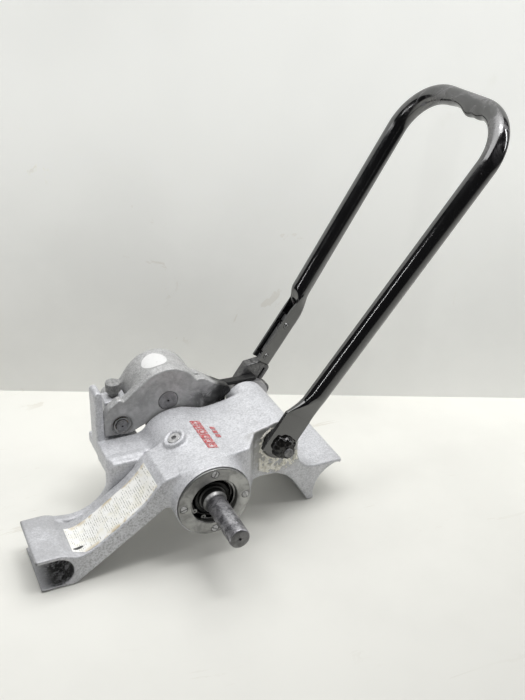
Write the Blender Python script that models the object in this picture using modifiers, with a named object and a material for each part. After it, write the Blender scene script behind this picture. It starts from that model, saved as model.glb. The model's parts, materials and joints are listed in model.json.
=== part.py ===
"""Pipe roll groover: a housing that hangs on two rails, a chucked drive shaft, a hand-fed roll arm.

Sizes are in millimetres in a layout frame whose origin is the drive shaft's axis at the front flange:
X runs across the rails, Y runs from the shaft's free end to the rolls, and Z is up.
world() moves that frame so that the part stands on Z = 0 below the middle of its bounding box.
"""
import math

import bmesh
import bpy
from mathutils import Vector

MM = 0.001

# Driving dimensions, in millimetres.
AXIS_HEIGHT = 85.0          # drive shaft's axis above the surface the part stands on
CENTRE_X = 91.14            # middle of the bounding box in the layout frame
CENTRE_Y = 74.88
GAP = 0.3                   # between pieces that touch or are pressed together
RUN_GAP = 0.1               # radial clearance where a shaft turns in a hole
ROUND = 32                  # sides of an ordinary turned piece
LARGE = 48                  # sides of the barrel and what fits its ends

SHAFT_RADIUS = 12.7         # the 1 inch drive bar that the chuck holds
SHAFT_TIP_Y = -73.8
BARREL_RADIUS = 48.0
BARREL_FRONT_Y = 3.0
BARREL_REAR_Y = 145.0
JOURNAL_RADIUS = 17.2
BEARING_RADIUS = 36.0
BEARING_WIDTH = 16.0
FRONT_BEARING_Y = 9.0
REAR_BEARING_Y = 124.0
FLANGE_RADIUS = 46.4
FLANGE_HOLE_RADIUS = 29.7
SCREW_CIRCLE_RADIUS = 39.6
DRIVE_ROLL_RADIUS = 22.0

ARM_PIVOT = (-66.5, 35.5)   # X and Z of the arm's pin
PIN_RADIUS = 8.0
ROLL_AXIS = (-4.0, 58.0)    # X and Z of the groove roll's shaft
ROLL_RADIUS = 27.5
SHROUD_RADIUS = 46.0
ARM_FRONT_Y = 148.0
ARM_PLATE = 13.5
ARM_REAR_Y = 207.0
REAR_PLATE = 12.0

FEED_AXIS = (110.0, 24.0)   # X and Z of the shaft that the handle turns
HANDLE_TILT = math.radians(55.3)
FEED_RADIUS = 10.0
FEED_SEAT_RADIUS = 8.5
HOOD_RADIUS = 29.0
HOOD_FRONT_Y = 55.0
HOOD_REAR_Y = 164.0
CAM_BASE = 19.0             # cam's reach straight down at rest
CAM_RISE = 12.0             # millimetres of reach gained for each radian of handle
CAM_BREADTH = 44.0          # the same across every diameter, so the fork holds it both ways
CAM_LOW = math.radians(-36.0)
CAM_HIGH = math.radians(72.0)
FORK_FRONT_Y = 165.6
FORK_WIDTH = 12.0
CAM_CLEARANCE = 0.4

TUBE_RADIUS = 12.7          # 1 inch handle tube
HANDLE_TOP = 479.0          # pivot to the middle of the grip tube
HANDLE_CORNER = 60.0
TUBE_WALL = 2.2
STRIP_Y = 40.6              # middle of the near leg's pressed strip
STRIP_HALF_THICKNESS = 2.6
STRIP_EDGES = (-11.5, 28.0)     # across the handle, either side of its axis
STRIP_ENDS = (-13.5, 43.0)      # along the handle, from the feed shaft's axis
CHANNEL_Y = 187.0           # middle of the far leg's pressed channel, and of the tongue in it
CHANNEL_HALF = 10.0
CHANNEL_WALL = 4.2
CHANNEL_EDGES = (-14.5, 5.0)
CHANNEL_ENDS = (55.5, 133.0)
RIVETS = ((64.7, -2.5), (115.0, -2.5))      # along and across the handle
NEAR_LEG_Y = 42.8           # middle of the near leg at LEG_START from the pivot
FAR_LEG_Y = 185.0
LEG_START = 71.0
NEAR_LEG_SLOPE = -0.0657
FAR_LEG_SLOPE = 0.0748

DEPTH_SCREW = (-67.0, 180.0)    # X and Y of the depth adjusting screw
PLUG_ANGLE = math.radians(24.7)  # plug boss, from straight up towards the clamp
PLUG_Y = 79.0
RAIL_SLOT = (-188.0, -63.0)
RAIL_SLOT_RADIUS = 19.0
SADDLE_CENTRE = (208.0, -75.0)
SADDLE_RADIUS = 41.0


def clear_scene():
    for obj in list(bpy.data.objects):
        bpy.data.objects.remove(obj, do_unlink=True)


def collection(name):
    group = bpy.data.collections.new(name)
    bpy.context.scene.collection.children.link(group)
    return group


clear_scene()
PART = collection("pipe_roll_groover")
CUTTERS = collection("cutters")


def material(name, colour, roughness, metallic):
    mat = bpy.data.materials.new(name)
    mat.use_nodes = True
    shader = mat.node_tree.nodes["Principled BSDF"]
    shader.inputs["Base Color"].default_value = (*colour, 1.0)
    shader.inputs["Roughness"].default_value = roughness
    shader.inputs["Metallic"].default_value = metallic
    return mat


CAST = material("cast_aluminium", (0.62, 0.62, 0.64), 0.55, 0.9)
STEEL = material("machined_steel", (0.42, 0.42, 0.43), 0.35, 1.0)
OXIDE = material("black_oxide_steel", (0.10, 0.10, 0.11), 0.4, 0.9)
PAINT = material("black_enamel", (0.015, 0.015, 0.016), 0.22, 0.0)
BRONZE = material("bronze", (0.55, 0.38, 0.16), 0.4, 1.0)
SEAL = material("cage_grey", (0.12, 0.12, 0.12), 0.6, 0.3)


class Frame:
    """An empty on a joint's axis; zero is what layout coordinates lose to become local ones."""

    def __init__(self, name, x, z, y=0.0, tilt=0.0, local=False):
        self.empty = bpy.data.objects.new(name, None)
        self.empty.location = Vector((x - CENTRE_X, y - CENTRE_Y, z + AXIS_HEIGHT)) * MM
        self.empty.rotation_euler = (0.0, -tilt, 0.0)
        PART.objects.link(self.empty)
        self.zero = Vector((0.0, 0.0, 0.0)) if local else Vector((x, y, z))

    def point(self, x, y, z):
        return (Vector((x, y, z)) - self.zero) * MM


ROOT = Frame("housing_frame", 0.0, 0.0)
DRIVE = Frame("drive_axis", 0.0, 0.0)
ARM = Frame("arm_axis", *ARM_PIVOT)
ROLL = Frame("groove_roll_axis", *ROLL_AXIS)
FEED = Frame("feed_axis", *FEED_AXIS, tilt=HANDLE_TILT, local=True)
DEPTH = Frame("depth_axis", DEPTH_SCREW[0], 0.0, y=DEPTH_SCREW[1])

ALONG_Y = (-math.pi / 2, 0.0, 0.0)      # turns a local +Z axis to +Y
FACE_Y = (math.pi / 2, 0.0, 0.0)        # stands an XY outline up in the XZ plane
UPRIGHT = (0.0, 0.0, 0.0)


def put(name, mesh, frame, at, rotation, mat):
    """Links a mesh as an object; mat None makes it a hidden cutter."""
    obj = bpy.data.objects.new(name, mesh)
    obj.parent = frame.empty
    obj.location = frame.point(*at)
    obj.rotation_euler = rotation
    if mat is None:
        obj.hide_render = True
        obj.display_type = "WIRE"
        CUTTERS.objects.link(obj)
    else:
        obj.data.materials.append(mat)
        PART.objects.link(obj)
    return obj


def smooth(obj, angle=35.0):
    obj.data.shade_smooth()
    obj.data.set_sharp_from_angle(angle=math.radians(angle))
    return obj


def boolean(obj, tool, operation):
    mod = obj.modifiers.new(tool.name, "BOOLEAN")
    mod.operation = operation
    mod.solver = "EXACT"
    mod.object = tool


def join(obj, *tools):
    for tool in tools:
        boolean(obj, tool, "UNION")


def cut(obj, *tools):
    for tool in tools:
        boolean(obj, tool, "DIFFERENCE")


def rod(name, radius, y0, y1, frame=ROOT, x=0.0, z=0.0, mat=None, sides=ROUND):
    """A cylinder along Y from y0 to y1."""
    mesh = bpy.data.meshes.new(name)
    bm = bmesh.new()
    bmesh.ops.create_cone(bm, cap_ends=True, segments=sides, radius1=radius * MM, radius2=radius * MM,
                          depth=(y1 - y0) * MM)
    bm.to_mesh(mesh)
    bm.free()
    return smooth(put(name, mesh, frame, (x, (y0 + y1) / 2, z), ALONG_Y, mat))


def post(name, radius, z0, z1, frame=ROOT, x=0.0, y=0.0, mat=None, sides=24):
    """A cylinder along Z from z0 to z1."""
    obj = rod(name, radius, z0, z1, frame, x, 0.0, mat, sides)
    obj.rotation_euler = UPRIGHT
    obj.location = frame.point(x, y, (z0 + z1) / 2)
    return obj


def block(name, x, y, z, frame=ROOT, mat=None):
    """A box from (low, high) pairs."""
    mesh = bpy.data.meshes.new(name)
    bm = bmesh.new()
    bmesh.ops.create_cube(bm, size=1.0)
    size = [(high - low) * MM for low, high in (x, y, z)]
    bmesh.ops.scale(bm, vec=size, verts=bm.verts)
    bm.to_mesh(mesh)
    bm.free()
    middle = [(low + high) / 2 for low, high in (x, y, z)]
    return put(name, mesh, frame, middle, UPRIGHT, mat)


def turned(name, profile, frame=ROOT, x=0.0, z=0.0, mat=None, steps=ROUND, ring=False):
    """A lathe profile of (radius, y), written from high y to low y along its outer side."""
    mesh = bpy.data.meshes.new(name)
    bm = bmesh.new()
    verts = [bm.verts.new((radius * MM, 0.0, y * MM)) for radius, y in profile]
    for first, second in zip(verts, verts[1:]):
        bm.edges.new((first, second))
    if ring:
        bm.edges.new((verts[-1], verts[0]))
    bm.to_mesh(mesh)
    bm.free()
    obj = put(name, mesh, frame, (x, 0.0, z), ALONG_Y, mat)
    mod = obj.modifiers.new("turn", "SCREW")
    mod.steps = steps
    mod.render_steps = steps
    mod.use_merge_vertices = True
    mod.merge_threshold = 0.00001
    mod.use_smooth_shade = False
    return obj


def washer(name, inner, outer, y0, y1, frame=ROOT, x=0.0, z=0.0, mat=None):
    profile = [(outer, y1), (outer, y0), (inner, y0), (inner, y1)]
    return turned(name, profile, frame, x, z, mat, ring=True)


def arc(centre, radius, start, stop, count):
    """Points round a centre; angles in degrees from +X towards +Z."""
    steps = [math.radians(start + (stop - start) * i / count) for i in range(count + 1)]
    return [(centre[0] + radius * math.cos(a), centre[1] + radius * math.sin(a)) for a in steps]


def rounded(corners, count=4):
    """Replaces each corner (x, z, radius) by a fillet of that radius."""
    points = []
    for i, (x, z, radius) in enumerate(corners):
        here = Vector((x, z))
        before = (Vector(corners[i - 1][:2]) - here).normalized()
        after = (Vector(corners[(i + 1) % len(corners)][:2]) - here).normalized()
        half = before.angle(after) / 2
        if radius <= 0.0 or half > math.radians(89):
            points.append((x, z))
            continue
        centre = here + (before + after).normalized() * (radius / math.sin(half))
        start = here + before * (radius / math.tan(half)) - centre
        turn = start.angle_signed(here + after * (radius / math.tan(half)) - centre)
        for step in range(count + 1):
            angle = -turn * step / count
            spin = Vector((start.x * math.cos(angle) - start.y * math.sin(angle),
                           start.x * math.sin(angle) + start.y * math.cos(angle)))
            points.append(tuple(centre + spin))
    return points


def outline_mesh(name, points, depth):
    """A flat outline, filled and thickened, as one welded mesh."""
    curve = bpy.data.curves.new(name, "CURVE")
    curve.dimensions = "2D"
    curve.fill_mode = "BOTH"
    curve.extrude = depth * MM / 2
    spline = curve.splines.new("POLY")
    spline.points.add(len(points) - 1)
    for point, (u, v) in zip(spline.points, points):
        point.co = (u * MM, v * MM, 0.0, 1.0)
    spline.use_cyclic_u = True
    holder = bpy.data.objects.new(name + "_outline", curve)
    CUTTERS.objects.link(holder)
    depsgraph = bpy.context.evaluated_depsgraph_get()
    mesh = bpy.data.meshes.new_from_object(holder.evaluated_get(depsgraph))
    bpy.data.objects.remove(holder, do_unlink=True)
    bm = bmesh.new()
    bm.from_mesh(mesh)
    bmesh.ops.remove_doubles(bm, verts=bm.verts, dist=0.000005)
    bmesh.ops.recalc_face_normals(bm, faces=bm.faces)
    bm.to_mesh(mesh)
    bm.free()
    mesh.materials.clear()
    return mesh


def plate(name, points, y0, y1, frame=ROOT, mat=None):
    """An XZ outline that reaches from y0 to y1."""
    zero = frame.zero
    local = [(x - zero.x, z - zero.z) for x, z in points]
    mesh = outline_mesh(name, local, y1 - y0)
    middle = (zero.x, (y0 + y1) / 2, zero.z)
    return smooth(put(name, mesh, frame, middle, FACE_Y, mat), 25.0)


def hexagon(across_flats):
    return arc((0.0, 0.0), across_flats / math.sqrt(3.0), 0, 300, 5)


# Housing: one aluminium casting.

def make_housing():
    housing = rod("housing", BARREL_RADIUS, BARREL_FRONT_Y, BARREL_REAR_Y, mat=CAST, sides=LARGE)
    hood_top = FEED_AXIS[1] + HOOD_RADIUS

    bridge = plate("bridge", [
        (-10, 30), (10, 44), (24, 42.5), (38, 41.5), (52, 42), (70, 45.5), (90, 50.5), (110, hood_top - 0.6),
        (120, 30), (120, -20), (100, -25), (90, -24), (76, -28), (60, -34), (40, -38), (-10, -30),
    ], 30, BARREL_REAR_Y - 1)
    near_corner = outline_mesh("near_corner", [(58, 20), (160, 20), (160, HOOD_FRONT_Y), (76, HOOD_FRONT_Y),
                                               (58, 30.1)], 200)
    corner_cutter = put("near_corner", near_corner, ROOT, (0, 0, 0), UPRIGHT, None)
    cut(bridge, corner_cutter)

    hood = rod("hood", HOOD_RADIUS, HOOD_FRONT_Y, HOOD_REAR_Y, x=FEED_AXIS[0], z=FEED_AXIS[1])
    saddle = arc(SADDLE_CENTRE, SADDLE_RADIUS, 92, 172, 10)
    foot = plate("foot", [
        (95, 45), (128, 42), (136, 34), (139, 20), (140, -6), (143, -15), (150, -24), (161, -30),
        (205, -30), (209, -31.5), *saddle,
        (167.5, -78), (167, -85), (158.5, -85), (146, -63), (134, -45), (124, -35), (112, -28.5),
        (100, -25), (90, -24.5), (80, -20),
    ], HOOD_FRONT_Y, 154)

    slot_x, slot_z = RAIL_SLOT
    beam = plate("beam", [
        (-20, 40), (-40, 36), (-54, 32), (-63, 25), (-74, 10), (-86, -1), (-112, -20), (-136, -36.5),
        (-149, -43.5), (-161, -46.5), (-172, -43.5), (-184, -39), (-211.5, -39), (-213, -41),
        (-209, -85), (-168, -85), (-160, -80), (-49, -5), (-30, -10), (-20, 0),
    ], 21, 90)
    rib = plate("rib", [
        (-55, 20), (-96, 20), (-101.5, 10), (-102, -3), (-106.5, -15), (-111.5, -26), (-118, -33),
        (-126, -38.5), (-138, -44), (-151, -46.5), (-163, -44), (-172, -41), (-184, -39), (-211.5, -39),
        (-213, -41), (-209, -85), (-168, -85), (-160, -80), (-60, -12), (-50, -5),
    ], 86, 105)
    slot = rod("rail_slot_end", RAIL_SLOT_RADIUS, 10, 120, x=slot_x, z=slot_z)
    mouth = block("rail_slot", (slot_x - 40, slot_x), (10, 120),
                  (slot_z - RAIL_SLOT_RADIUS, slot_z + RAIL_SLOT_RADIUS))

    shelf = plate("shelf", [(-35, 20), (-101, 20), (-101, -5), (-96, -15), (-80, -24), (-30, -30)],
                  104, 147.4)
    wall = plate("wall", arc((-95.5, 85), 5.5, 0, 180, 6) + [(-101, 2), (-90, -6)], 146, 172)
    slab = block("slab", (-100, -42), (140, 192), (-6, 9))
    lug = plate("lug", rounded([(-83, 5, 0), (-52, 5, 0), (-52, 63, 2), (-83, 63, 2)]), 165, 192)
    boss = plug_rod("plug_boss", 14, 40, 54.5)
    join(housing, bridge, hood, foot, beam, rib, shelf, wall, slab, lug, boss)

    seat = BEARING_RADIUS
    cut(housing, slot, mouth,
        rod("flange_recess", FLANGE_RADIUS + GAP, 0, 8.3, sides=LARGE),
        rod("front_seat", seat, 5, FRONT_BEARING_Y + BEARING_WIDTH + GAP, sides=LARGE),
        rod("core", 25.0, 20, 130),
        rod("rear_seat", seat, REAR_BEARING_Y - GAP, 150, sides=LARGE),
        rod("feed_bore", 13.3, 40, 170, x=FEED_AXIS[0], z=FEED_AXIS[1]),
        rod("pin_bore", PIN_RADIUS + GAP, 160, 200, x=ARM_PIVOT[0], z=ARM_PIVOT[1], sides=32),
        post("depth_bore", 5.3, 44, 70, x=DEPTH_SCREW[0], y=DEPTH_SCREW[1]),
        plug_rod("plug_bore", 8.0, 20, 60))
    for index, angle in enumerate((0, 90, 180, 270)):
        x, z = screw_place(angle)
        cut(housing, rod("tapped_hole_%d" % (index + 1), 2.8, 4, 22, x=x, z=z, sides=16))


def plug_rod(name, radius, inner, outer):
    """A cylinder that stands out of the barrel on the plug's radial axis."""
    obj = post(name, radius, inner, outer)
    middle = (inner + outer) / 2
    lean = PLUG_ANGLE
    obj.location = ROOT.point(-middle * math.sin(lean), PLUG_Y, middle * math.cos(lean))
    obj.rotation_euler = (0.0, -lean, 0.0)
    return obj


def make_plug():
    """Hexagon-socket plug in the barrel's filling hole."""
    profile = [(0, 53.5), (7.0, 53.5), (7.6, 52.9), (7.6, 42), (0, 42)]
    plug = turned("grease_plug", profile, mat=STEEL, steps=24)
    plug.location = ROOT.point(0.0, PLUG_Y, 0.0)
    plug.rotation_euler = (0.0, -PLUG_ANGLE, 0.0)
    socket_mesh = outline_mesh("plug_socket", hexagon(8), 12)
    socket = put("plug_socket", socket_mesh, ROOT, (0, 0, 0), (0.0, -PLUG_ANGLE, 0.0), None)
    reach = 55.0
    socket.location = ROOT.point(-reach * math.sin(PLUG_ANGLE), PLUG_Y, reach * math.cos(PLUG_ANGLE))
    cut(plug, socket)


# Drive: the shaft, its two bearings, the flange that holds them in and the roll.

def screw_place(angle):
    turn = math.radians(angle)
    return SCREW_CIRCLE_RADIUS * math.cos(turn), SCREW_CIRCLE_RADIUS * math.sin(turn)


def make_retainer():
    ring = turned("bearing_retainer", [
        (FLANGE_RADIUS, 8), (FLANGE_RADIUS, 1), (FLANGE_RADIUS - 1, 0), (FLANGE_HOLE_RADIUS + 0.8, 0),
        (FLANGE_HOLE_RADIUS, 0.8), (FLANGE_HOLE_RADIUS, 8),
    ], mat=STEEL, steps=LARGE, ring=True)
    for index, angle in enumerate((0, 90, 180, 270)):
        number = index + 1
        x, z = screw_place(angle)
        cut(ring, rod("screw_hole_%d" % number, 2.8, -5, 12, x=x, z=z, sides=16),
            rod("screw_recess_%d" % number, 4.8, -5, 3.5, x=x, z=z, sides=24))
        screw = turned("retainer_screw_%d" % number, [
            (0, 18), (2.4, 18), (2.4, 3.2), (4.2, 3.2), (4.2, -0.2), (3.6, -0.8), (0, -0.8),
        ], x=x, z=z, mat=STEEL, steps=16)
        cut(screw, block("screw_slot_%d" % number, (x - 6, x + 6), (-3, 0.8), (z - 0.6, z + 0.6)))


def make_bearing(name, y, cage_inset):
    outer, inner = BEARING_RADIUS - GAP, JOURNAL_RADIUS + GAP
    end = y + BEARING_WIDTH
    washer(name + "_outer_ring", 29.4, outer, y, end, mat=STEEL)
    washer(name + "_inner_ring", inner, 22.4, y, end, frame=DRIVE, mat=STEEL)
    washer(name + "_cage", 22.4 + RUN_GAP * 4, 29.4 - GAP, y + cage_inset, end - cage_inset, mat=SEAL)


def make_drive():
    front, rear = FRONT_BEARING_Y, REAR_BEARING_Y + BEARING_WIDTH
    key_box = ((-3, 3), (162, 188))
    shaft = turned("drive_shaft", [
        (0, 212), (8.6, 212), (9.5, 211), (9.5, 196), (15, 196), (15, rear + 4), (JOURNAL_RADIUS, rear + 4),
        (JOURNAL_RADIUS, REAR_BEARING_Y - 1), (16, REAR_BEARING_Y - 2), (16, front + 18),
        (JOURNAL_RADIUS, front + 17), (JOURNAL_RADIUS, front - 1), (15.2, front - 2), (15.2, -1),
        (SHAFT_RADIUS, -4), (SHAFT_RADIUS, SHAFT_TIP_Y + 1.6), (SHAFT_RADIUS - 1.6, SHAFT_TIP_Y),
        (2.2, SHAFT_TIP_Y), (0, SHAFT_TIP_Y + 2.6),
    ], frame=DRIVE, mat=OXIDE)
    cut(shaft, block("shaft_keyway", *key_box, (12.2, 20), frame=DRIVE))
    roll = turned("drive_roll", [
        (20.5, 194), (DRIVE_ROLL_RADIUS, 192.5), (DRIVE_ROLL_RADIUS, 182.5), (19, 182), (19, 172.5),
        (DRIVE_ROLL_RADIUS, 172), (DRIVE_ROLL_RADIUS, 157), (29, 156.5), (30, 155.5), (30, 149), (29, 148),
        (15.3, 148), (15.3, 194),
    ], frame=DRIVE, mat=OXIDE, ring=True)
    cut(roll, block("roll_keyway", (-3.3, 3.3), (140, 200), (10, 17.8), frame=DRIVE))
    block("drive_key", (-2.7, 2.7), (162.5, 187.5), (12.5, 17.4), frame=DRIVE, mat=STEEL)
    washer("drive_washer", 9.8, 19, 196.3, 198.6, frame=DRIVE, mat=STEEL)
    nut = plate("drive_nut", hexagon(30), 199, 209, frame=DRIVE, mat=STEEL)
    cut(nut, rod("nut_bore", 9.8, 190, 220, frame=DRIVE, sides=32))
    make_bearing("front_bearing", FRONT_BEARING_Y, 1.5)
    make_bearing("rear_bearing", REAR_BEARING_Y, 1.5)
    clip("rear_circlip", 31, BEARING_RADIUS - GAP, rear + 0.4, rear + 2.4, 24)


def clip(name, inner, outer, y0, y1, opening, centre=(0.0, 0.0), frame=ROOT):
    """A flat C ring, open at the bottom by the given angle in degrees."""
    start, stop = -90 + opening / 2, 270 - opening / 2
    points = arc(centre, outer, start, stop, 20) + arc(centre, inner, stop, start, 20)
    return plate(name, points, y0, y1, frame=frame, mat=OXIDE)


# Arm: two plates, the shroud over the groove roll, and the fork that the cam works.

def make_arm():
    px, pz = ARM_PIVOT
    rx, rz = ROLL_AXIS
    back_of_front = ARM_FRONT_Y + ARM_PLATE
    rear_front = ARM_REAR_Y - REAR_PLATE
    arm = plate("roll_arm", [
        (px - 20, pz - 14), (px - 22.5, pz - 8), (px - 21.5, pz + 14), (px - 15, pz + 26), (px + 8, pz + 43),
        *arc(ROLL_AXIS, 44, 125, 45, 10), (42, 81), (62, 67), (80, 61.5), (84, 56), (72, 50), (48, 46),
        (30, 40), (14, 37), (-20, 37), (-36, 31), (-52, 24), (px - 2, pz - 17),
    ], ARM_FRONT_Y, back_of_front, frame=ARM, mat=CAST)
    shroud = plate("shroud", arc(ROLL_AXIS, SHROUD_RADIUS, -12, 196, 26)
                   + arc(ROLL_AXIS, SHROUD_RADIUS - 10.5, 196, -12, 22),
                   back_of_front - 1, ARM_REAR_Y - 1, frame=ARM)
    rear = plate("rear_plate", [
        (px - 16, pz - 10), (px - 17, pz + 8), (px - 8, pz + 24), (px + 18, pz + 40),
        *arc(ROLL_AXIS, SHROUD_RADIUS - 0.5, 120, -20, 12), (16, 38), (-18, 38), (-40, 28), (px + 2, pz - 17),
        (px - 9, pz - 15),
    ], rear_front, ARM_REAR_Y, frame=ARM)
    jaw_low = FEED_AXIS[1] - CAM_BASE - CAM_CLEARANCE
    jaw_high = jaw_low + CAM_BREADTH + 2 * CAM_CLEARANCE
    fork_points = rounded([
        (28, 84, 0), (44, 79, 6), (62, 66, 6), (80, 55.5, 6), (130, 54.5, 2), (130, jaw_high, 1.5),
        (84, jaw_high, 5), (84, jaw_low, 5), (130, jaw_low, 2), (130, -9, 4), (80, -9, 10), (68, 5, 8),
        (62, 32, 10), (34, 52, 0),
    ])
    fork = plate("fork", fork_points, FORK_FRONT_Y, FORK_FRONT_Y + FORK_WIDTH, frame=ARM)
    web = block("fork_web", (35.5, 68), (back_of_front - 1, FORK_FRONT_Y + 1), (51, 61), frame=ARM)
    join(arm, shroud, rear, web, fork)
    cut(arm,
        rod("bush_bore_front", 10.3, 140, 164, frame=ARM, x=px, z=pz, sides=32),
        rod("bush_bore_rear", 10.3, 190, 212, frame=ARM, x=px, z=pz, sides=32),
        rod("clip_recess", 13.5, 140, ARM_FRONT_Y + 3, frame=ARM, x=px, z=pz, sides=32),
        rod("roll_shaft_bore", SHAFT_RADIUS + GAP, 140, 212, frame=ARM, x=rx, z=rz))
    for name, y0, y1 in (("arm_bushing_front", ARM_FRONT_Y + 3.3, back_of_front),
                         ("arm_bushing_rear", rear_front, ARM_REAR_Y)):
        washer(name, PIN_RADIUS + RUN_GAP, 10.0, y0, y1, frame=ARM, x=px, z=pz, mat=BRONZE)


def grooved_pin(radius, y0, y1, grooves, width=1.8, depth=1.2):
    """Profile of a pin with a retaining groove starting at each given y, chamfered at both ends."""
    profile = [(0, y1), (radius - 0.8, y1), (radius, y1 - 0.8)]
    for start in sorted(grooves, reverse=True):
        profile += [(radius, start + width), (radius - depth, start + width), (radius - depth, start),
                    (radius, start)]
    profile += [(radius, y0 + 0.8), (radius - 0.8, y0), (1.4, y0), (0, y0 + 1.4)]
    return profile


def make_pins():
    px, pz = ARM_PIVOT
    rx, rz = ROLL_AXIS
    front_groove, rear_groove = ARM_FRONT_Y + 0.6, ARM_REAR_Y + 0.6
    turned("pivot_pin", grooved_pin(PIN_RADIUS, 146, 212, (front_groove, rear_groove)),
           x=px, z=pz, mat=OXIDE)
    clip("pivot_clip_front", PIN_RADIUS - 0.9, 10.6, front_groove + 0.3, front_groove + 1.5, 90, ARM_PIVOT)
    clip("pivot_clip_rear", PIN_RADIUS - 0.9, 12.0, rear_groove + 0.3, rear_groove + 1.5, 90, ARM_PIVOT)
    turned("roll_shaft", grooved_pin(SHAFT_RADIUS, ARM_FRONT_Y - 0.4, 213, (rear_groove,)),
           frame=ARM, x=rx, z=rz, mat=OXIDE)
    clip("roll_shaft_clip", SHAFT_RADIUS - 0.9, 17, rear_groove + 0.3, rear_groove + 1.5, 80, ROLL_AXIS,
         ARM)


def make_groove_roll():
    rx, rz = ROLL_AXIS
    side = ROLL_RADIUS - 3.5
    turned("groove_roll", [
        (side - 1, 194), (side, 193), (side, 181.5), (ROLL_RADIUS, 181), (ROLL_RADIUS, 174), (side, 173.5),
        (side, 163.5), (side - 1, 162.5), (15.6, 162.5), (15.6, 194),
    ], frame=ROLL, x=rx, z=rz, mat=OXIDE, ring=True)
    washer("roll_bushing", SHAFT_RADIUS + RUN_GAP, 15.3, 162.5, 194, frame=ROLL, x=rx, z=rz, mat=BRONZE)


# Feed: shaft, cam, bracket and handle turn together; the frame's X runs up the handle.

def cam_reach(turn):
    """Distance from the axis to the fork's face, with its slope, when the handle has turned this far."""
    span = 2 * math.pi
    turn = (turn - CAM_LOW) % span + CAM_LOW
    if turn <= CAM_HIGH:
        return CAM_BASE + CAM_RISE * turn, CAM_RISE
    back = turn - math.pi
    if CAM_LOW <= back <= CAM_HIGH:
        return CAM_BREADTH - CAM_BASE - CAM_RISE * back, -CAM_RISE
    rising = back < CAM_LOW
    start, stop = (CAM_HIGH, math.pi + CAM_LOW) if rising else (math.pi + CAM_HIGH, span + CAM_LOW)
    first, last = cam_reach(start)[0], cam_reach(stop)[0]
    part = (turn - start) / (stop - start)
    bulge = CAM_RISE * (stop - start) * part * (1 - part) * (1 if rising else -1)
    slope = (last - first) / (stop - start) + CAM_RISE * (1 - 2 * part) * (1 if rising else -1)
    return first + (last - first) * part + bulge, slope


def cam_outline(count=72):
    """Constant-breadth cam: the envelope of flat faces at cam_reach() from the axis."""
    points = []
    for step in range(count):
        turn = CAM_LOW + 2 * math.pi * step / count
        reach, slope = cam_reach(turn)
        x = reach * math.sin(turn) + slope * math.cos(turn)
        z = -reach * math.cos(turn) + slope * math.sin(turn)
        points.append((x, z))
    return points


def tilted(points):
    """Level layout directions turned into the handle's frame."""
    c, s = math.cos(HANDLE_TILT), math.sin(HANDLE_TILT)
    return [(x * c + z * s, -x * s + z * c) for x, z in points]


def make_feed():
    fx, fz = FEED_AXIS
    turned("feed_shaft", [
        (0, 208), (5.2, 208), (6, 207.2), (6, 195), (FEED_SEAT_RADIUS, 195), (FEED_SEAT_RADIUS, 165),
        (FEED_RADIUS, 164.8), (FEED_RADIUS, 44), (FEED_SEAT_RADIUS, 43.6), (FEED_SEAT_RADIUS, 37.6),
        (6, 37.4), (6, 24.8), (5.2, 24), (0, 24),
    ], frame=FEED, mat=OXIDE)
    for name, y0, y1 in (("feed_bushing_near", HOOD_FRONT_Y + 0.5, 79), ("feed_bushing_far", 140, 163.5)):
        washer(name, FEED_RADIUS + RUN_GAP, 13.0, y0, y1, x=fx, z=fz, mat=BRONZE)
    cam = plate("feed_cam", tilted(cam_outline()), 166, 177, frame=FEED, mat=OXIDE)
    cut(cam, rod("cam_bore", FEED_SEAT_RADIUS + GAP, 160, 180, frame=FEED, sides=32))
    washer("hub_spacer", FEED_RADIUS + GAP, 17, 44, 54.4, frame=FEED, mat=PAINT)
    for name, y0, y1 in (("near_nut", 27.5, 37.2), ("far_nut", 198, 206)):
        nut = plate(name, hexagon(19), y0, y1, frame=FEED, mat=OXIDE)
        cut(nut, rod(name + "_bore", 6.3, y0 - 2, y1 + 2, frame=FEED, sides=24))
    washer("far_washer", 6.3, 15, 195.3, 197.6, frame=FEED, mat=OXIDE)


def make_bracket():
    """Forged bracket on the feed shaft: hub, body, ear for the stop pin, and the tongue in the far leg."""
    ear = (21.0, -30.0)
    bracket = plate("handle_bracket", [
        *arc((0, 0), 18, 90, 215, 10), (4, -20), *arc(ear, 9, 200, 380, 8), (34, -18.5), (52, -18.5),
        (55, -15), (55, 0.5), (41.8, 15.5), (5, 15.5),
    ], 178.2, 194, frame=FEED, mat=PAINT)
    back, front = CHANNEL_EDGES
    half = CHANNEL_HALF - CHANNEL_WALL - 0.5
    tongue = block("bracket_tongue", (50, CHANNEL_ENDS[1] - 6), (CHANNEL_Y - half, CHANNEL_Y + half),
                   (back + CHANNEL_WALL + GAP, front - 4.5), frame=FEED)
    join(bracket, tongue)
    cut(bracket,
        block("bracket_slot", (26, 49), (170, 200), (-12.8, -10.2), frame=FEED),
        rod("bracket_bore", FEED_SEAT_RADIUS + GAP, 170, 200, frame=FEED, sides=32),
        rod("stop_pin_bore", 4.3, 170, 200, frame=FEED, x=ear[0], z=ear[1], sides=20),
        *(rod("tongue_hole_%d" % number, 3.3, 170, 200, frame=FEED, x=s, z=w, sides=20)
          for number, (s, w) in enumerate(RIVETS, 1)))
    pin = grooved_pin(4.0, 178.4, 199, ())
    turned("stop_pin", pin, frame=FEED, x=ear[0], z=ear[1], mat=OXIDE, steps=20)


def leg_y(s, near):
    if near:
        return NEAR_LEG_Y + NEAR_LEG_SLOPE * (s - LEG_START)
    return FAR_LEG_Y + FAR_LEG_SLOPE * (s - LEG_START)


def middle_and_half(edges):
    return (edges[0] + edges[1]) / 2, (edges[1] - edges[0]) / 2


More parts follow.
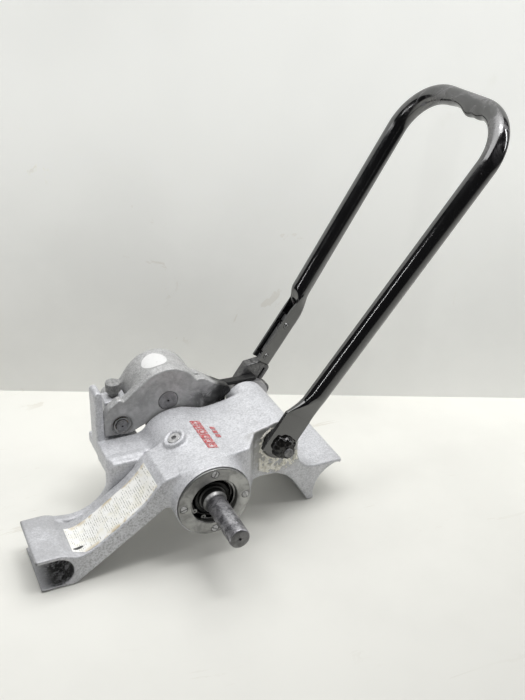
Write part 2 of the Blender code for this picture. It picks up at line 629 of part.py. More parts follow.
def handle_sections():
    """(s, y, offset, half width, half thickness, squareness) from the near leg's foot to the far leg's."""
    tube = (0.0, TUBE_RADIUS, TUBE_RADIUS, 1.0)
    thin = (STRIP_HALF_THICKNESS, 0.35)
    strip = (*middle_and_half(STRIP_EDGES), *thin)
    foot, crease = STRIP_ENDS
    top_edge = STRIP_EDGES[1]
    sections = [(foot, STRIP_Y, *middle_and_half((3.0, top_edge)), *thin),
                (foot + 4.5, STRIP_Y, *middle_and_half((-6.0, top_edge)), *thin),
                (foot + 11, STRIP_Y, *strip), (20, STRIP_Y, *strip), (crease, STRIP_Y, *strip),
                (crease + 9, 41.4, 5.0, 17.0, 6.5, 0.5), (crease + 20, 42.4, 1.2, 13.8, 11.0, 0.8)]
    corner_s = HANDLE_TOP - HANDLE_CORNER
    sections += [(s, leg_y(s, True), *tube) for s in (78, 200, 310, corner_s)]
    for near in (True, False):
        side = leg_y(corner_s, near)
        centre_y = side + HANDLE_CORNER if near else side - HANDLE_CORNER
        steps = range(1, 9) if near else range(7, -1, -1)
        for step in steps:
            angle = math.pi / 2 * step / 8
            y = centre_y + (-1 if near else 1) * HANDLE_CORNER * math.cos(angle)
            sections.append((corner_s + HANDLE_CORNER * math.sin(angle), y, *tube))
    sections += [(s, leg_y(s, False), *tube) for s in (310, 210, 168)]
    channel = (*middle_and_half(CHANNEL_EDGES), CHANNEL_HALF, 0.35)
    bottom, top = CHANNEL_ENDS
    sections += [(top + 19, CHANNEL_Y + 3.2, -1.5, 12.4, 11.4, 0.7), (top + 5, CHANNEL_Y + 0.6, *channel),
                 (top - 3, CHANNEL_Y, *channel), (bottom, CHANNEL_Y, *channel)]
    return sections


def loft(name, sections, mat, sides=20):
    """Joins the sections into one closed skin, each square to the path in the frame's XY plane."""
    path = [Vector(section[:2]) for section in sections]
    mesh = bpy.data.meshes.new(name)
    bm = bmesh.new()
    rings = []
    for index, (s, y, offset, wide, thick, square) in enumerate(sections):
        ahead = path[min(index + 1, len(path) - 1)]
        behind = path[max(index - 1, 0)]
        tangent = (ahead - behind).normalized()
        ring = []
        for step in range(sides):
            angle = 2 * math.pi * (step + 0.5) / sides
            c, d = math.cos(angle), math.sin(angle)
            across = math.copysign(abs(c) ** square, c) * wide + offset
            through = math.copysign(abs(d) ** square, d) * thick
            place = Vector((s - tangent.y * through, y + tangent.x * through, across)) * MM
            ring.append(bm.verts.new(place))
        rings.append(ring)
    for first, second in zip(rings, rings[1:]):
        for step in range(sides):
            after = (step + 1) % sides
            bm.faces.new((first[step], first[after], second[after], second[step]))
    bm.faces.new(rings[0])
    bm.faces.new(rings[-1])
    bmesh.ops.recalc_face_normals(bm, faces=bm.faces)
    bmesh.ops.triangulate(bm, faces=bm.faces)
    bm.to_mesh(mesh)
    bm.free()
    return smooth(put(name, mesh, FEED, (0, 0, 0), UPRIGHT, mat), 50.0)


def make_handle():
    """Tube bent into a loop, its near foot pressed to a strip and its far foot to a channel."""
    sections = handle_sections()
    handle = loft("handle_loop", sections, PAINT)
    inside = TUBE_RADIUS - TUBE_WALL
    core = [(s, y, 0.0, inside, inside, 1.0) for s, y, _, wide, _, _ in sections if wide == TUBE_RADIUS]
    bottom, top = CHANNEL_ENDS
    core.append((top - 6, CHANNEL_Y, 0.0, 5.0, 5.0, 1.0))
    cut(handle, loft("handle_core", core, None, sides=12))
    half = CHANNEL_HALF - CHANNEL_WALL
    cut(handle,
        rod("stud_hole", FEED_SEAT_RADIUS + GAP, 30, 50, frame=FEED, sides=32),
        block("leg_channel", (bottom - 15, top), (CHANNEL_Y - half, CHANNEL_Y + half),
              (CHANNEL_EDGES[0] + CHANNEL_WALL, 30), frame=FEED))
    low, high = CHANNEL_Y - CHANNEL_HALF - GAP, CHANNEL_Y + CHANNEL_HALF + GAP
    for number, (s, w) in enumerate(RIVETS, 1):
        cut(handle, rod("leg_hole_%d" % number, 3.3, 170, 205, frame=FEED, x=s, z=w, sides=20))
        turned("handle_rivet_%d" % number, [
            (0, high + 1.6), (2.6, high + 1.5), (4.2, high + 0.8), (4.6, high), (3.0, high), (3.0, low),
            (4.6, low), (4.2, low - 0.8), (2.6, low - 1.5), (0, low - 1.6),
        ], frame=FEED, x=s, z=w, mat=OXIDE, steps=20)


# Depth adjustment: a screw down into the lug, with a knurled knob.

def make_depth_screw():
    x, y = DEPTH_SCREW
    post("depth_screw", 5.0, 46, 73, frame=DEPTH, x=x, y=y, mat=STEEL)
    flutes = 30
    rim = []
    for step in range(flutes * 2):
        radius = 10.0 if step % 2 else 9.5
        angle = math.pi * step / flutes
        rim.append((radius * math.cos(angle), radius * math.sin(angle)))
    height = 16.0
    bottom = 66.5
    mesh = outline_mesh("depth_knob", rim, height)
    knob = put("depth_knob", mesh, DEPTH, (x, y, bottom + height / 2), UPRIGHT, STEEL)
    cut(knob, post("knob_bore", 5.3, bottom - 2, 73.3, frame=DEPTH, x=x, y=y))


make_housing()
make_plug()
make_retainer()
make_drive()
make_arm()
make_pins()
make_groove_roll()
make_feed()
make_bracket()
make_handle()
make_depth_screw()
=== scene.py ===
"""Pipe roll groover: castings, turned parts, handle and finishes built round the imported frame.

Shapes are worked out in millimetres in a layout frame: X across the rails, Y along the drive shaft from
the front flange towards the rolls, Z up from the shaft's axis. place() turns that into the frame's metres.
"""
import json
import math

import bmesh
import bpy
import numpy as np
import openvdb
from mathutils import Matrix, Vector, noise
from mathutils.bvhtree import BVHTree


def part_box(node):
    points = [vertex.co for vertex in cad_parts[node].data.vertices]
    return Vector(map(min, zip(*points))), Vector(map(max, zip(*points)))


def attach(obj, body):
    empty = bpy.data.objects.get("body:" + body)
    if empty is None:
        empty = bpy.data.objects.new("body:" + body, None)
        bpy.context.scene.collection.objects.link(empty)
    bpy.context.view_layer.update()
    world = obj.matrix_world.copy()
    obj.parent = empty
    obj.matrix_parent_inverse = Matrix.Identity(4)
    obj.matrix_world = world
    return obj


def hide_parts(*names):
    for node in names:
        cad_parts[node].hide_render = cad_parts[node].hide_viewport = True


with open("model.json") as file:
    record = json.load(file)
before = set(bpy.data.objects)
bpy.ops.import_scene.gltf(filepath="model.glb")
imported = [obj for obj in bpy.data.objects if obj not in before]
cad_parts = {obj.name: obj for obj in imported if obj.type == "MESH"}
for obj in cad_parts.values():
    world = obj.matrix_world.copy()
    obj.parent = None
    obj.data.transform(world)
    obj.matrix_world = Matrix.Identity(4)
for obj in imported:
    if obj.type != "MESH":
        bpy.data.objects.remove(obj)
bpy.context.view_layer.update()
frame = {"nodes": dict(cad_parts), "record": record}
MM = 0.001

# ---------------------------------------------------------------- layout, read from the frame

SHAFT_LOW, SHAFT_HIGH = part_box("drive_shaft")
FLANGE_LOW, FLANGE_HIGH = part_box("bearing_retainer")
ORIGIN = Vector(((SHAFT_LOW[0] + SHAFT_HIGH[0]) / 2, FLANGE_LOW[1], (SHAFT_LOW[2] + SHAFT_HIGH[2]) / 2))


def place(x, y, z):
    """Metres in the frame from layout millimetres."""
    return ORIGIN + Vector((x, y, z)) * MM


def layout(point):
    return (Vector(point) - ORIGIN) / MM


def joint_axis(name):
    """Layout X and Z of a joint's axis."""
    for joint in frame["record"]["behaviour"]["joints"]:
        if joint["name"] == name:
            spot = layout(joint["pos_m"])
            return spot.x, spot.z
    raise KeyError(name)


ARM_PIVOT = joint_axis("arm_pivot")
ROLL_AXIS = joint_axis("groove_roll_spin")
FEED_AXIS = joint_axis("handle_swing")
HANDLE_TILT = math.radians(55.3)
BASE_Z = -ORIGIN.z / MM
BARREL_RADIUS = 48.0
SHAFT_RADIUS = 12.7
HOOD_RADIUS = 29.0
SHROUD_RADIUS = 46.0
TUBE_RADIUS = 12.7
SLOT_CENTRE = (-188.0, -63.0)
SLOT_RADIUS = 19.0
SADDLE_CENTRE = (208.0, -75.0)
SADDLE_RADIUS = 41.0
PLUG_ANGLE = math.radians(24.7)
PLUG_Y = 79.0
DEPTH_AXIS = (-67.0, 180.0)
SCREW_CIRCLE = 39.6
BALL_CIRCLE = 25.9
BALL_RADIUS = 4.6
BALLS = 11
ARM_FACE_Y = 148.0
ARM_REAR_Y = 207.0
FOOT_FACE_Y = 55.2
CHANNEL_Y = 187.0
CHANNEL_HALF = 10.0
HUB_RADIUS = 22.5
NOISE_SEED = 7
RIVETS = ((64.7, -2.5), (115.0, -2.5))
DOWN = (0.0, 0.0, -1.0)

HOUSING, DRIVE, ARM = "housing_body", "drive_body", "arm_body"
ROLL, FEED, KNOB, SPINDLE = "groove_roll_body", "feed_body", "depth_knob_body", "depth_screw_body"
OXIDE_SLOT = "black_oxide_steel"
SLOTS = {
    "cast_aluminium": "cast_aluminium", "arm_casting": "arm_casting", "bearing_cage": "bearing_cage",
    "black_enamel": "black_enamel", "forged_black": "black_enamel", "black_oxide_steel": OXIDE_SLOT,
    "drive_bar_steel": OXIDE_SLOT, "machined_steel": "machined_steel", "bearing_steel": "machined_steel",
    "pale_plated_steel": "machined_steel", "dull_plated_steel": "machined_steel",
}

# Without a seed Blender takes noise_vector's offsets from the clock, and the castings differ each run.
noise.seed_set(NOISE_SEED)


# ---------------------------------------------------------------- materials

class Value:
    """A node's output, with arithmetic that adds Math nodes."""

    def __init__(self, nodes, socket):
        self.nodes, self.socket = nodes, socket

    def __add__(self, other):
        return self.nodes.math("ADD", self, other)

    def __sub__(self, other):
        return self.nodes.math("SUBTRACT", self, other)

    def __mul__(self, other):
        return self.nodes.math("MULTIPLY", self, other)


class Nodes:
    """A node tree that is built one output at a time."""

    def __init__(self, tree):
        self.tree = tree

    def link(self, value, socket):
        if isinstance(value, Value):
            self.tree.links.new(value.socket, socket)
        else:
            socket.default_value = value

    def node(self, kind, output, inputs=(), **settings):
        """A new node's output; inputs holds numbers, colours and other outputs by socket."""
        node = self.tree.nodes.new("ShaderNode" + kind)
        for name, value in settings.items():
            setattr(node, name, value)
        for socket, value in dict(inputs).items():
            self.link(value, node.inputs[socket])
        return Value(self, node.outputs[output])

    def math(self, operation, first, second=0.0):
        return self.node("Math", 0, {0: first, 1: second}, operation=operation)


class Finish(Nodes):
    """A Principled material with short names for the nodes that its maps are made of."""

    def __init__(self, name, colour, roughness, metallic=0.0, others=()):
        self.material = bpy.data.materials.new(name)
        self.material.use_nodes = True
        super().__init__(self.material.node_tree)
        self.shader = self.tree.nodes["Principled BSDF"]
        settings = {"Base Color": (*colour, 1.0), "Roughness": roughness, "Metallic": metallic,
                    "Coat Roughness": 0.12}
        settings.update(others)
        for socket, value in settings.items():
            self.shader.inputs[socket].default_value = value
        self.where = self.node("TexCoord", "Object")
        self.colour = self.relief = None

    def hypot(self, first, second):
        return self.math("SQRT", first * first + second * second)

    def shift(self, x, y, z, scale=(1.0, 1.0, 1.0)):
        """Coordinates measured from a layout point, in metres, stretched by scale."""
        spot = place(x, y, z)
        origin = [-spot[i] * scale[i] for i in range(3)]
        return self.node("Mapping", 0, {"Location": origin, "Scale": scale, "Vector": self.where},
                         vector_type="POINT")

    def axis(self, vector, index):
        return self.node("SeparateXYZ", index, {0: vector})

    def along(self, index, x=0.0, y=0.0, z=0.0):
        """One layout coordinate in millimetres, measured from a layout point."""
        return self.axis(self.shift(x, y, z, (1000.0, 1000.0, 1000.0)), index)

    def reach(self, x, z):
        """Distance in millimetres from the axis along Y through a layout point."""
        return self.hypot(self.along(0, x=x), self.along(2, z=z))

    def noise(self, period, detail=3.0, rough=0.55, stretch=None, bend=0.0):
        """Noise in 0 to 1 whose largest features are about period millimetres."""
        vector = self.shift(0, 0, 0, stretch) if stretch else self.where
        return self.node("TexNoise", "Fac", {"Vector": vector, "Scale": 1.0 / (period * MM), "Detail": detail,
                                             "Roughness": rough, "Distortion": bend})

    def cells(self, period):
        return self.node("TexVoronoi", "Distance", {"Vector": self.where, "Scale": 1.0 / (period * MM)})

    def edges(self, low, high):
        """From a corner's sharpness: outer edges with rising limits, hollows with falling ones."""
        return self.ramp(self.node("NewGeometry", "Pointiness"), low, high)

    def ramp(self, value, low, high, start=0.0, stop=1.0):
        return self.node("MapRange", "Result", {"Value": value, "From Min": low, "From Max": high,
                                                "To Min": start, "To Max": stop},
                         interpolation_type="SMOOTHSTEP")

    def mix(self, factor, first, second):
        first, second = ((*value, 1.0) if isinstance(value, tuple) else value for value in (first, second))
        return self.node("Mix", "Result", {"Factor": factor, "A": first, "B": second}, data_type="RGBA")

    def tones(self, value, low, high, first, second):
        """Starts the colour: from first to second as the value goes from low to high."""
        self.colour = self.mix(self.ramp(value, low, high), first, second)

    def lay(self, mask, share, colour):
        """Lays a share of a colour over what is there, where the mask is 1."""
        self.colour = self.mix(mask if share == 1 else mask * share, self.colour, colour)

    def bump(self, height, distance, strength):
        """Adds a relief of that many millimetres to the ones already there."""
        inputs = {"Distance": distance * MM, "Strength": strength, "Height": height}
        if self.relief:
            inputs["Normal"] = self.relief
        self.relief = self.node("Bump", "Normal", inputs)

    def done(self, roughness=None):
        for name, value in (("Base Color", self.colour), ("Roughness", roughness), ("Normal", self.relief)):
            if value is not None:
                self.link(value, self.shader.inputs[name])
        return self.material


def grey(value):
    return (value, value, value)


def sand_cast(m, light, dark, speck):
    """Bead-blasted casting skin: sparkling grain, cloudy patches and small dark pits."""
    clouds, patches, grain = m.noise(34.0, 4.0, 0.6), m.noise(9.0, 3.0, 0.6), m.noise(2.6, 4.0, 0.85)
    pits = m.ramp(m.cells(4.0), 0.2, 0.07) * m.ramp(m.noise(14.0, 2.0), 0.5, 0.62)
    m.tones(clouds * 0.16 + patches * 0.16 + grain * 0.68, 0.38, 0.62, light, dark)
    m.lay(pits, 0.8, speck)
    m.bump(patches, 0.5, 0.5)
    m.bump(grain, 0.5, 0.9)
    m.bump(m.math("SUBTRACT", 1.0, pits), 0.3, 0.6)
    return clouds


def housing_finish():
    m = Finish("cast_aluminium", (0.6, 0.6, 0.62), 0.5, 0.35)
    clouds = sand_cast(m, (0.70, 0.705, 0.73), (0.46, 0.465, 0.485), grey(0.12))
    x, y, z = m.along(0), m.along(1), m.along(2)
    # Outer edges are painted lighter: a painted highlight along them.
    m.lay(m.edges(0.52, 0.6), 0.5, (0.88, 0.88, 0.9))
    # Hollows and inside corners are painted darker: painted shade.
    m.lay(m.edges(0.485, 0.43), 0.6, (0.34, 0.34, 0.35))
    # The sawn-looking near side of the hook leg is speckled dark.
    specks = m.ramp(m.noise(2.6, 4.0, 0.75), 0.5, 0.62)
    m.lay(m.ramp(y, 22.6, 21.6) * m.ramp(x, -50.0, -60.0) * specks, 0.55, grey(0.3))
    # The hook's plates are duller than the rest.
    m.lay(m.ramp(x, -138.0, -166.0) * m.ramp(clouds, 0.25, 0.6), 0.55, (0.36, 0.36, 0.37))
    # The hook's outer edges are painted near black: painted shade on the sides turned from the light.
    m.lay(m.edges(0.53, 0.57) * m.ramp(x, -168.0, -182.0), 0.75, grey(0.07))
    # The rail slot is black with old grease, thickest at its round end.
    slot_x, slot_z = SLOT_CENTRE
    slot = m.hypot(m.math("MAXIMUM", x - slot_x, 0.0), z - slot_z)
    slot_wall = m.ramp(slot, SLOT_RADIUS + 1.6, SLOT_RADIUS + 0.7) * m.ramp(y, 21.2, 24.0)
    slot_dirt = (slot_wall * m.ramp(x, slot_x - 20, slot_x + 1)
                 * m.ramp(m.noise(6.0, 4.0, 0.7), 0.30, 0.56, 0.35, 1.0))
    m.lay(slot_dirt, 1, grey(0.012))
    # Grease has stained the face round the feed shaft.
    near_hub = m.ramp(m.reach(*FEED_AXIS), 58.0, 34.0) * m.ramp(y, 57.5, 55.5)
    m.lay(near_hub * m.ramp(m.noise(8.0, 4.0), 0.30, 0.55), 0.75, (0.34, 0.335, 0.31))
    return m.done(m.ramp(clouds + slot_dirt, 0.3, 0.9, 0.52, 0.38))


def arm_finish():
    m = Finish("arm_casting", grey(0.5), 0.45, 0.4, {"Specular IOR Level": 0.3})
    clouds = sand_cast(m, grey(0.56), grey(0.33), grey(0.10))
    # Outer edges are painted lighter: a painted highlight along them.
    m.lay(m.edges(0.52, 0.59), 0.55, grey(0.74))
    cast = m.colour
    # The front face is ground flat: darker and smoother, clouded by old oil.
    face = m.ramp(m.along(1), ARM_FACE_Y + 0.7, ARM_FACE_Y + 0.2)
    rubbed = m.noise(30.0, 5.0, 0.65, bend=0.8)
    m.tones(m.noise(5.0, 4.0, 0.7) * 0.35 + rubbed * 0.65, 0.34, 0.66, grey(0.52), grey(0.33))
    # The face's lower right corner, towards the tail, is painted near black: painted shade of the gap under the
    # arm, with some grease.
    tail_shade_and_grease = m.ramp(m.along(0), 6.0, 52.0) * m.ramp(m.along(2), 74.0, 56.0)
    m.lay(tail_shade_and_grease * m.ramp(rubbed, 0.25, 0.5), 0.93, grey(0.03))
    # Round the pin's recess the face is painted darker: painted shade in the recess.
    m.lay(m.ramp(m.reach(*ARM_PIVOT), 19.0, 12.5), 0.45, grey(0.13))
    m.colour = m.mix(face, cast, m.colour)
    # The forked tail is painted near black: black grease, and painted shade of the gap above the hood.
    tail_grease_and_shade = m.ramp(m.along(0) + rubbed * 14.0, 62.0, 76.0)
    m.lay(tail_grease_and_shade, 0.97, grey(0.012))
    return m.done(m.ramp(clouds, 0.3, 0.7, 0.40, 0.55) + face * -0.08 + tail_grease_and_shade * -0.12)


def turned_steel(name, light, dark, roughness):
    """Lathe-turned steel: fine rings round the drive axis, dulled by oil."""
    m = Finish(name, light, roughness, 1.0)
    ring_step = 0.9
    oil, fine = m.noise(16.0, 4.0, 0.6, bend=0.5), m.noise(1.2, 3.0, 0.7)
    m.tones(oil, 0.32, 0.7, light, dark)
    m.lay(m.ramp(fine, 0.62, 0.8), 1, tuple(0.5 * part for part in dark))
    m.bump(m.math("SINE", m.reach(0.0, 0.0) * (2 * math.pi / ring_step)), 0.02, 0.35)
    m.bump(fine, 0.05, 0.4)
    return m.done(m.ramp(oil, 0.3, 0.7, roughness - 0.08, roughness + 0.12))


def plated_steel(name, light, dark):
    """Plated steel gone dull: plug, screws, depth knob."""
    m = Finish(name, light, 0.42, 0.35)
    film, fine = m.noise(6.0, 4.0, 0.65), m.noise(1.5, 3.0, 0.7)
    m.tones(film * 0.6 + fine * 0.4, 0.38, 0.62, light, dark)
    # Hollows, such as knurl grooves, are painted dark: painted shade.
    m.lay(m.edges(0.47, 0.42), 0.7, grey(0.08))
    m.bump(fine, 0.06, 0.4)
    return m.done(m.ramp(film, 0.3, 0.7, 0.36, 0.5))


def oxide_finish():
    """Black oxide rubbed and blotched by handling."""
    dark, light = (0.115, 0.115, 0.118), (0.25, 0.25, 0.255)
    m = Finish("black_oxide_steel", dark, 0.38, 0.7)
    blots, fine = m.noise(9.0, 5.0, 0.62, bend=0.7), m.noise(1.8, 3.0, 0.7)
    drag = m.noise(5.0, 3.0, 0.6, (3.0, 0.5, 3.0))
    m.tones(blots * 0.75 + fine * 0.25, 0.38, 0.64, dark, light)
    m.lay(m.ramp(drag, 0.6, 0.74), 0.5, (0.50, 0.49, 0.50))
    m.lay(m.edges(0.53, 0.62), 0.6, (0.6, 0.59, 0.6))
    m.bump(blots, 0.08, 0.4)
    m.bump(drag, 0.04, 0.5)
    return m.done(m.ramp(blots, 0.3, 0.7, 0.48, 0.30))


def shaft_finish():
    """The bar's purple-grey oxide, its shoulder painted light as a painted highlight, painted shade where it runs
    into the bearing, and its dull sawn end.
    """
    m = Finish("drive_bar_steel", (0.3, 0.3, 0.32), 0.34, 0.75)
    blots, fine, y = m.noise(10.0, 5.0, 0.62, bend=0.7), m.noise(1.6, 3.0, 0.7), m.along(1)
    ring_step = 0.8
    m.tones(blots * 0.7 + fine * 0.3, 0.38, 0.62, (0.12, 0.118, 0.128), (0.47, 0.465, 0.485))
    # The shoulder is painted light: a painted highlight.
    m.lay(m.ramp(y, -4.6, -2.4), 0.85, (0.48, 0.48, 0.472))
    # Where the bar runs into the bearing it is painted near black: painted shade, with some grease.
    m.lay(m.ramp(y, -0.2, 1.2), 0.9, grey(0.04))
    m.lay(m.ramp(y, -73.0, -73.6), 0.8, (0.12, 0.12, 0.118))
    m.lay(m.ramp(y, -8.0, -5.2) * m.ramp(y, -1.0, -4.0), 0.5, grey(0.05))
    m.bump(m.math("SINE", y * (2 * math.pi / ring_step)), 0.015, 0.3)
    m.bump(blots, 0.06, 0.4)
    return m.done(m.ramp(blots, 0.3, 0.7, 0.44, 0.28))


def enamel_finish():
    """Gloss black enamel: orange peel, dust and scratches, rubbed towards grey at the grip."""
    m = Finish("black_enamel", grey(0.003), 0.12, 0.0, {"IOR": 2.2})
    haze = m.noise(45.0, 4.0, 0.6)
    dust = m.ramp(m.cells(7.0), 0.075, 0.03) * m.ramp(m.noise(22.0, 2.0), 0.5, 0.62)
    m.tones(haze, 0.35, 0.75, (0.0015, 0.0015, 0.002), (0.004, 0.004, 0.0045))
    m.lay(m.ramp(m.noise(6.0, 4.0, 0.7, (0.4, 4.0, 1.2)), 0.66, 0.72), 0.35, grey(0.2))
    m.lay(dust, 0.6, (0.45, 0.44, 0.42))
    # The grip is the top of the loop.
    grip = m.ramp(m.along(2) - handle_point(TOP, 115.0, 0.0)[2], -62.0, -14.0)
    rub = m.noise(24.0, 5.0, 0.65, bend=0.9)
    worn = grip * m.ramp(rub, 0.42, 0.62)
    m.lay(worn, 0.55, (0.10, 0.095, 0.10))
    m.bump(m.noise(3.5, 2.0, 0.5), 0.01, 0.1)
    m.bump(rub * grip, 0.2, 0.25)
    return m.done(m.ramp(haze, 0.3, 0.7, 0.08, 0.16) + worn * 0.22)


def forged_finish():
    """Black forging scale, rubbed lighter on its edges."""
    m = Finish("forged_black", (0.03, 0.03, 0.032), 0.3, 0.25, {"IOR": 1.9})
    scale = m.noise(4.0, 4.0, 0.65)
    m.tones(scale, 0.4, 0.7, (0.05, 0.05, 0.052), (0.14, 0.138, 0.135))
    m.lay(m.edges(0.53, 0.6), 0.6, (0.25, 0.245, 0.24))
    m.bump(scale, 0.2, 0.6)
    return m.done(m.ramp(m.noise(16.0, 3.0), 0.3, 0.7, 0.22, 0.4))


def film_finish(name, base, film, tones, relief, gloss):
    """One noise makes the colour, the relief and the gloss."""
    m = Finish(name, *base)
    film = m.noise(*film)
    m.tones(film, *tones)
    m.bump(film, *relief)
    return m.done(m.ramp(film, 0.3, 0.7, *gloss))


def red_finish():
    """Red paint worn off the high spots of a raised pad down to the aluminium."""
    m = Finish("worn_red_paint", (0.5, 0.1, 0.1), 0.5, 0.1)
    chips = m.noise(2.4, 4.0, 0.7)
    left = m.ramp(chips, 0.36, 0.50) * m.ramp(m.noise(9.0, 3.0, 0.6), 0.28, 0.42)
    m.colour = m.mix(left, (0.60, 0.50, 0.50), (0.42, 0.075, 0.08))
    m.bump(chips, 0.08, 0.5)
    return m.done(m.ramp(chips, 0.3, 0.7, 0.55, 0.42))


def label_finish():
    """Cream label carrying only plain broken rules, faded and stained at its edges."""
    m = Finish("cream_label", (0.82, 0.80, 0.70), 0.45)
    depth = m.math("ABSOLUTE", m.along(1, y=50.0))
    rule = m.ramp(m.math("PINGPONG", m.along(0, x=-115.0), 1.15), 0.52, 0.30)
    dash = m.ramp(m.noise(2.2, 2.0, 0.6, (2.4, 1.0, 1.0)), 0.46, 0.52)
    blocks = m.ramp(m.noise(8.5, 2.0, 0.5, (1.4, 0.55, 1.0)), 0.40, 0.5)
    stain = m.noise(14.0, 4.0, 0.65, bend=0.6)
    m.tones(stain, 0.4, 0.75, (0.84, 0.84, 0.815), (0.76, 0.745, 0.66))
    m.lay(m.ramp(depth, 18.0, 27.0) * m.ramp(stain, 0.42, 0.6), 1, (0.50, 0.40, 0.24))
    m.lay(rule * dash * blocks * m.ramp(depth, 22.0, 20.5), 0.75, (0.20, 0.19, 0.17))
    # The near corner of its lower end is torn open.
    tear = m.hypot(m.along(0, x=-159.0) * (1 / 7.0), m.along(1, y=36.0) * (1 / 2.4))
    m.lay(m.ramp(tear, 1.0, 0.8), 1, grey(0.05))
    m.bump(stain, 0.1, 0.4)
    return m.done(m.ramp(stain, 0.3, 0.7, 0.38, 0.55))


# ---------------------------------------------------------------- mesh helpers

def add(name, vertices, faces, material, body, replaced=(), sharp=40.0, slot=None):
    """Makes one piece from layout-millimetre vertices; a slot is worked out from its finish unless one is given,
    but not applied.
    """
    mesh = bpy.data.meshes.new(name)
    points = np.asarray(vertices, dtype=np.float64) * MM + np.array(ORIGIN)
    mesh.from_pydata(points.tolist(), [], [tuple(face) for face in faces])
    mesh.update()
    bm = bmesh.new()
    bm.from_mesh(mesh)
    bmesh.ops.recalc_face_normals(bm, faces=bm.faces)
    bm.to_mesh(mesh)
    bm.free()
    mesh.shade_smooth()
    if sharp:
        mesh.set_sharp_from_angle(angle=math.radians(sharp))
    obj = bpy.data.objects.new(name, mesh)
    bpy.context.scene.collection.objects.link(obj)
    mesh.materials.append(material)
    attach(obj, body)
    if replaced:
        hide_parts(*replaced)
    # The frame has materials of some of these names, so Blender numbers the finish's own.
    slot = slot or SLOTS.get(material.name.split(".")[0])
    return obj


def rounded(corners, count=5):
    """Replaces each corner (u, v, radius) by a fillet of that radius."""
    points = []
    for i, corner in enumerate(corners):
        here, radius = Vector(corner[:2]), corner[2] if len(corner) > 2 else 0.0
        before = Vector(corners[i - 1][:2]) - here
        after = Vector(corners[(i + 1) % len(corners)][:2]) - here
        reach = 0.49 * min(before.length, after.length)
        before.normalize()
        after.normalize()
        half = before.angle(after) / 2
        radius = min(radius, reach * math.tan(half))
        if radius <= 0.01 or half > math.radians(89.5):
            points.append(tuple(here))
            continue
        centre = here + (before + after).normalized() * (radius / math.sin(half))
        start = here + before * (radius / math.tan(half)) - centre
        turn = start.angle_signed(here + after * (radius / math.tan(half)) - centre)
        for step in range(count + 1):
            angle = -turn * step / count
            points.append((centre.x + start.x * math.cos(angle) - start.y * math.sin(angle),
                           centre.y + start.x * math.sin(angle) + start.y * math.cos(angle)))
    return points


def arc(centre, radius, start, stop, count):
    """Points on a circle from start to stop degrees, both included."""
    steps = [math.radians(start + (stop - start) * i / count) for i in range(count + 1)]
    return [(centre[0] + radius * math.cos(a), centre[1] + radius * math.sin(a)) for a in steps]


def along_y(x=0.0, z=0.0):
    """Turns a local +Z axis to +Y through a layout point."""
    return Matrix.Translation((x, 0.0, z)) @ Matrix.Rotation(-math.pi / 2, 4, "X")


def upright(x, y):
    return Matrix.Translation((x, y, 0.0))


def feed_matrix():
    """From the handle's own frame (along the leg, along Y, square to both) to the layout frame."""
    return Matrix.Translation((FEED_AXIS[0], 0.0, FEED_AXIS[1])) @ Matrix.Rotation(-HANDLE_TILT, 4, "Y")


def handle_point(s, y, w):
    return tuple(feed_matrix() @ Vector((s, y, w)))


def spin(name, profile, matrix, material, body, replaced=(), sides=72, closed=False, warp=None, sharp=35.0,
         slot=None):
    """Lathe: profile points (radius, height) turned round the matrix's Z; warp(r, h, angle) reshapes."""
    vertices, rows, faces = [], [], []
    for radius, height in profile:
        if radius <= 1e-6:
            vertices.append(matrix @ Vector((0.0, 0.0, height)))
            rows.append([len(vertices) - 1] * sides)
            continue
        row = []
        for step in range(sides):
            angle = 2 * math.pi * step / sides
            reach = warp(radius, height, angle) if warp else radius
            vertices.append(matrix @ Vector((reach * math.cos(angle), reach * math.sin(angle), height)))
            row.append(len(vertices) - 1)
        rows.append(row)
    for first, second in zip(rows, rows[1:] + rows[:1] * closed):
        for step in range(sides):
            after = (step + 1) % sides
            corners = [first[step], first[after], second[after], second[step]]
            face = [c for i, c in enumerate(corners) if c not in corners[:i]]
            if len(face) > 2:
                faces.append(face)
    return add(name, vertices, faces, material, body, replaced, sharp, slot)


def ring_profile(inner, outer, low, high, edge=0.4):
    """Closed rectangular section with broken corners."""
    return rounded([(outer, high, edge), (outer, low, edge), (inner, low, edge), (inner, high, edge)], 2)


def hex_warp(flats, bore):
    """Presses everything outside the bore into a hexagon."""
    def warp(radius, _height, angle):
        if radius <= bore:
            return radius
        turn = (angle + math.pi / 6) % (math.pi / 3) - math.pi / 6
        return min(radius, flats / 2 / math.cos(turn))
    return warp


def slab(name, outline, low, high, matrix, material, body, replaced=(), edge=0.25, slot=None):
    """A flat outline in the matrix's XY plane from low to high along its Z, with broken edges."""
    count = len(outline)
    area = sum(a[0] * b[1] - b[0] * a[1] for a, b in zip(outline[-1:] + outline, outline))
    flip = 1.0 if area > 0 else -1.0
    normals = []
    for before, after in zip(outline[-1:] + outline, outline[1:] + outline[:1]):
        tangent = (Vector(after) - Vector(before)).normalized() * flip
        normals.append(Vector((tangent.y, -tangent.x)))
    vertices = []
    for height, grow in ((low, -edge), (low + edge, 0.0), (high - edge, 0.0), (high, -edge)):
        for point, normal in zip(outline, normals):
            spot = Vector(point) + normal * grow
            vertices.append(matrix @ Vector((spot.x, spot.y, height)))
    faces = [list(range(count)), list(range(3 * count, 4 * count))]
    for level in range(3):
        for i in range(count):
            a, b = level * count + i, level * count + (i + 1) % count
            faces.append([a, b, count + b, count + a])
    return add(name, vertices, faces, material, body, replaced, 30.0, slot)


FACE_Y = Matrix.Rotation(math.pi / 2, 4, "X")       # an XY outline stood up in XZ; its Z runs to -Y


def standing(name, outline, y0, y1, material, body, **words):
    """An XZ outline between two Y planes."""
    return slab(name, outline, -y1, -y0, FACE_Y, material, body, **words)


# ---------------------------------------------------------------- solids from distance fields

